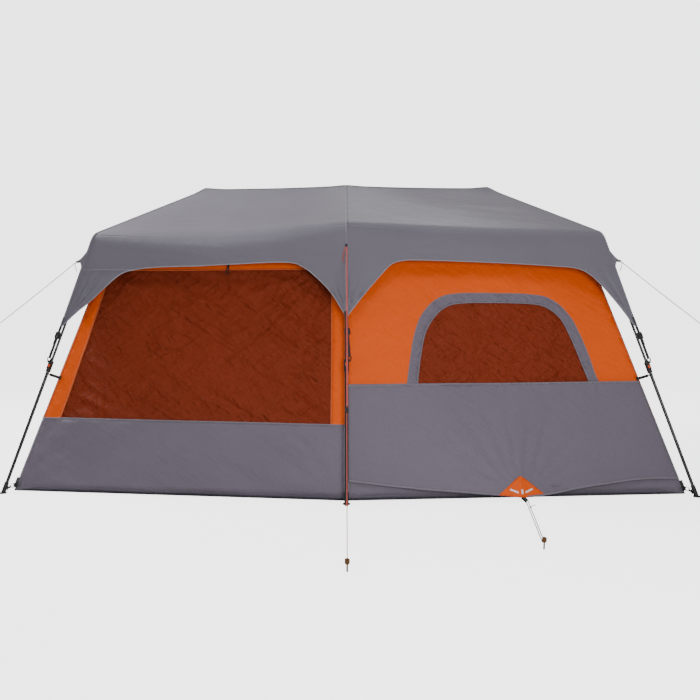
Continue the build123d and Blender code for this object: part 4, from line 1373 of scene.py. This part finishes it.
def ground_tie(leg):
    """The tape, ring and strap from the tub's corner to the foot."""
    sx, sy = signs(leg)
    boot = on_leg(leg, BOOT_UP)
    z = boot[2]
    x = sx * (corner_x(z) - 0.004)
    corner = vec(x, sy * wall_y(x, z), z)
    out, up = unit(boot - corner), vec(0, 0, 1)
    side = unit(np.cross(out, up))
    reach = np.linalg.norm(boot - corner)
    ring, end = reach * 0.30 + 0.010, reach - 0.017
    piece = Piece(f"ground_tie_{leg}")
    if sx:
        edge = [vec(sx * corner_x(h), sy * corner_y(h), h) + out * 0.004 for h in (0.085, 0.055, 0.030)]
        piece.strap([*edge, corner - up * 0.008 + out * 0.012], out, 0.026, "black", 0.0024)
    piece.strap(placed(corner, [out], [[-0.002], [ring - 0.010]]), side, 0.026, "black")
    piece.tube(ring_path(corner + out * ring, side, 0.0122), 0.0021, "metal", closed=True, sides=8)
    t = np.linspace(0, 1, 9)
    dip = np.stack([ring + 0.011 + (end - ring - 0.011) * t, -0.040 * t * (1 - t)], -1)
    piece.strap(placed(corner, (out, up), dip), side, 0.012, "black")
    drop = placed(corner, (out, up), [(end - 0.004, 0), (end - 0.002, -0.012), (end + 0.003, -0.026)])
    piece.strap(drop, side * 0.1 + out, 0.012, "black")
    if not sx:
        eye = foot_of(leg) + vec(0, sy * 0.040, 0.014)
        piece.tube(ring_path(eye, vec(1, 0, 0), 0.013), 0.0022, "button", closed=True, sides=8)
    trim(piece, f"upper_{leg}", ["wall_ties"], squash=(f"leg_{leg}", out, corner, 0.25))


def zip_slider():
    """The big window's zip slider, with two cord pulls."""
    n = unit((-BULGE, -1, LEAN_Y))
    x, z = -0.790, 1.466
    at = vec(x, -wall_y(x, z), z) + n * 0.0075
    east = unit((1, -BULGE, 0))
    down = np.cross(east, n)
    down = down if down[2] < 0 else -down
    piece = Piece("window_zip_body")
    piece.tube(frame_path(at, east, down, 0.012, 0.018), 0.0024, "zipmetal", closed=True, sides=6)
    axes = (east, down, n)
    piece.tube(placed(at, axes, [(0, -0.006, -0.001), (0, 0.006, -0.001)]), 0.0042, "zipmetal")
    for dx in (-0.006, 0.006):
        pull = placed(at, axes, [(0, 0.006, 0.004), (dx, 0.024, 0.007), (dx * 1.6, 0.050, 0.004)])
        piece.strap(smooth_path(pull, 4), n, 0.006, "black")
        grip = placed(at, axes, [(dx * 1.6, 0.046, 0.004), (dx * 1.8, 0.064, 0.004)])
        piece.tube(grip, 0.0036, "plastic", sides=6)
    trim(piece, "window_zip", ["window_zip_slider"], leg_squash("front_left", n))


# ---------------------------------------------------------------- cords
def spline(name, points, d, mat):
    curve = bpy.data.curves.new(name, "CURVE")
    curve.dimensions = "3D"
    s = curve.splines.new("NURBS")
    s.points.add(len(points) - 1)
    for p, q in zip(s.points, points):
        p.co = (*q, 1.0)
    s.order_u = 3
    s.use_endpoint_u = True
    s.resolution_u = 12
    curve.bevel_depth = d / 2
    curve.bevel_resolution = 3
    curve.use_fill_caps = True
    curve.materials.append(MAT[mat])
    obj = bpy.data.objects.new(name, curve)
    SCENE.collection.objects.link(obj)
    return obj


def centreline(obj):
    """The points of a curve with no bevel, as Blender works them out."""
    obj.data.bevel_depth, obj.data.use_fill_caps = 0.0, False
    bpy.context.view_layer.update()
    me = bpy.data.meshes.new_from_object(obj)
    out = np.array([v.co for v in me.vertices])
    bpy.data.meshes.remove(me)
    return out


def taut(a, b, sag, shares=(0, 0.03, 0.25, 0.5, 0.75, 0.97, 1)):
    a, b = vec(*a), vec(*b)
    return [tuple(a + (b - a) * t - vec(0, 0, sag * 4 * t * (1 - t))) for t in shares]


def free_cord(name, points, d, mat, body, nodes=()):
    """A cord that keeps its shape: a curve on its spline."""
    obj = attach(spline(name, points, d, mat), body, nodes)


def gathered_cord(name, points, d, mat, body, anchor):
    """A cord as a mesh tube on its spline's line, with its own mesh for a gather to one of its ends that is
    not applied here.
    """
    guide = spline(name + "_line", points, d, mat)
    path = centreline(guide)
    bpy.data.objects.remove(guide)
    piece = Piece(name)
    piece.tube(path, d / 2, mat, sides=10)
    squash = ("fold", unit(path[-1] - path[0]), anchor, 0.06)
    obj = attach(piece.make(), body, ["guy_lines"], squash)


GUY_D, PALE_D = 0.004, 0.005
GUY_TOP, GUY_LOW = (0.0, -1.296, 1.578), (0.0, -2.940, 0.034)
SIDE_GUY_TOP, SIDE_GUY_END = (1.812, -1.154, 1.487), (2.350, -1.250, 1.030)
SKIRT_CORD_TOP, SKIRT_CORD_LOW = (1.088, -1.622, 0.014), (0.951, -2.575, 0.030)


def front_guy():
    free_cord(
        "guy_front_cord", taut(GUY_TOP, GUY_LOW, 0.003), GUY_D, "red", "guy",
        ["guy_front"],
    )
    # the same line comes back up from its slider
    top, low = vec(*GUY_TOP), vec(*GUY_LOW)
    at = top + (low - top) * 0.605
    back = taut(at + vec(0.005, 0, 0.002), top + vec(0.005, -0.004, -0.006), 0.004)
    free_cord("guy_front_return", back, GUY_D, "red", "guy")
    tail = [(-0.003, -1.299, 1.576), (-0.010, -1.309, 1.566), (-0.016, -1.312, 1.535)]
    tail += [(-0.022, -1.313, 1.500), (-0.024, -1.314, 1.476)]
    free_cord("guy_front_tail", tail, GUY_D, "red", "guy")


def side_guy(sx, side):
    mirror = vec(sx, 1, 1)
    a, b = mirror * vec(*SIDE_GUY_TOP), mirror * vec(*SIDE_GUY_END)
    way = unit(b - a)
    body = f"upper_front_{side}"
    loop = Piece(f"side_guy_loop_{side}")
    loop.tube(ring_path(b + way * 0.011, vec(0, 1, 0), 0.011), 0.0015, "pale", closed=True, sides=6)
    loop.tube(placed(b, [way], [[-0.008], [-0.002], [0.003]]), 0.0030, "pale", sides=6)
    loop = attach(loop.make(), body, [], ("fold", way, a, 0.06))
    gathered_cord(f"side_guy_{side}", taut(a, b, 0.004), PALE_D, "pale", body, a)
    tail = [(-0.002, -0.003, -0.002), (0.004, -0.010, -0.012), (-0.004, -0.012, -0.035)]
    tail = a + mirror * np.array([*tail, (-0.012, -0.011, -0.062)])
    free_cord(f"side_guy_tail_{side}", tail, PALE_D, "pale", body)


def skirt_cord(side, shift):
    start, end = vec(*SKIRT_CORD_TOP) + vec(shift, 0, 0), vec(*SKIRT_CORD_LOW) + vec(shift * 0.8, 0, 0)
    way = unit(end - start)
    extra = []
    if side == "right":
        grip = Piece("skirt_cord_grip")
        p = start + way * 0.18
        ends = [[-0.010], [-0.006], [0.006], [0.010]]
        grip.tube(placed(p, [way], ends), 0.0046, "plastic", sides=8)
        tongue = p + np.array([(0.002, 0, 0.002), (0.014, -0.004, 0.012), (0.030, -0.008, 0.014)])
        grip.strap(smooth_path(tongue, 4), vec(0, -0.3, 1), 0.005, "black", 0.0012)
        squash = ("fold", way, vec(*SKIRT_CORD_LOW), 0.06)
        extra = [trim(grip, "canopy", squash=squash)]
    line, length = taut(start, end, 0.0), float(np.linalg.norm(end - start))
    gathered_cord(f"skirt_cord_{side}", line, PALE_D, "whitecord", "canopy", end)


# ---------------------------------------------------------------- camera, floor and light
BACKDROP_GLOW, FLOOR_GLOW = 2.9, 3.0  # what only the camera sees, so that neither lights the tent
WORLD_LIGHT = 0.34
LAMPS = (  # place, aim, size in metres, power in watts
    ((1.15, -6.0, 1.45), (0.6, 0, 1.0), 1.4, 91),
    ((0.2, -4.6, 5.4), (0.0, 0, 1.0), 1.8, 44),
    ((-4.7, 0.1, 5.2), (-1.2, 0, 1.9), 1.8, 365),
    ((1.5, 7.0, 4.2), (0, 0, 1.0), 3.5, 260),
)


def seen(nt):
    """1 where the camera looks straight at the backdrop, 0 where light comes from it."""
    return put(nt, "ShaderNodeLightPath").outputs["Is Camera Ray"]


def studio():
    cam = bpy.data.objects.new("Camera", bpy.data.cameras.new("Camera"))
    SCENE.collection.objects.link(cam)
    cam.location = (-0.012, -6.475, 1.114)
    cam.rotation_euler = (math.radians(90), 0, 0.0237)
    cam.data.sensor_width = 36
    cam.data.lens = 41.17
    cam.data.shift_x, cam.data.shift_y = 0.0350, -0.0453
    cam.data.clip_end = 200
    SCENE.camera = cam
    MAT["floor"] = mat = hard_material("studio_floor", (0.6, 0.6, 0.6), 0.9, bump=0.0, spread=0.01)
    nt = mat.node_tree
    shader = nt.nodes["Principled BSDF"]
    shader.inputs["Emission Color"].default_value = (1, 1, 1, 1)
    nt.links.new(times(nt, seen(nt), FLOOR_GLOW), shader.inputs["Emission Strength"])
    gx, gy = np.meshgrid(np.linspace(-60, 60, 3), np.linspace(-60, 60, 3))
    floor = Piece("studio_floor")
    floor.grid(np.stack([gx, gy, 0 * gx - 0.0005], -1), "floor")
    floor.make()
    world = bpy.data.worlds.new("studio")
    SCENE.world = world
    world.use_nodes = True
    nt = world.node_tree
    light = plus(nt, times(nt, seen(nt), BACKDROP_GLOW), WORLD_LIGHT)
    nt.nodes["Background"].inputs[0].default_value = (1, 1, 1, 1)
    nt.links.new(light, nt.nodes["Background"].inputs[1])
    for at, aim, size, power in LAMPS:
        lamp = bpy.data.lights.new("soft_box", "AREA")
        lamp.size, lamp.energy = size, power
        obj = bpy.data.objects.new("soft_box", lamp)
        SCENE.collection.objects.link(obj)
        obj.location = at
        obj.rotation_euler = (Vector(aim) - Vector(at)).to_track_quat("-Z", "Y").to_euler()


# ---------------------------------------------------------------- the whole tent
def finish_frame():
    """Gives each shown CAD node its material."""
    for part in frame["record"]["subparts"]:
        slot = part["material_slot"]
        if slot not in NODE_MAT:
            continue
        obj, mat = frame["nodes"][part["node"]], MAT[NODE_MAT[slot]]
        for s in obj.material_slots:
            s.material = mat
        if not obj.material_slots:
            obj.data.materials.append(mat)


def fly_and_ceiling():
    for sx, sy in ((-1, -1), (1, -1), (-1, 1), (1, 1)):
        for kind in ("front", "end"):
            slope = Slope(kind, sx, sy)
            slope.roof()
            slope.valance()
            slope.ceiling()


def end_walls():
    for sx in (-1, 1):
        for sy in (-1, 1):
            end_wall(sx, sy)


def straps_and_ties():
    for leg in LEGS:
        fly_strap(leg)
        wall_clip(leg)
        ground_tie(leg)


studio()
front_guy()
side_guy(-1, "left")
side_guy(1, "right")
skirt_cord("left", -0.006)
skirt_cord("right", 0.006)
finish_frame()
fly_and_ceiling()
front_left()
front_right()
skirt()
rear_walls()
end_walls()
floor_half(-1, "front")
floor_half(1, "rear")
straps_and_ties()
zip_slider()
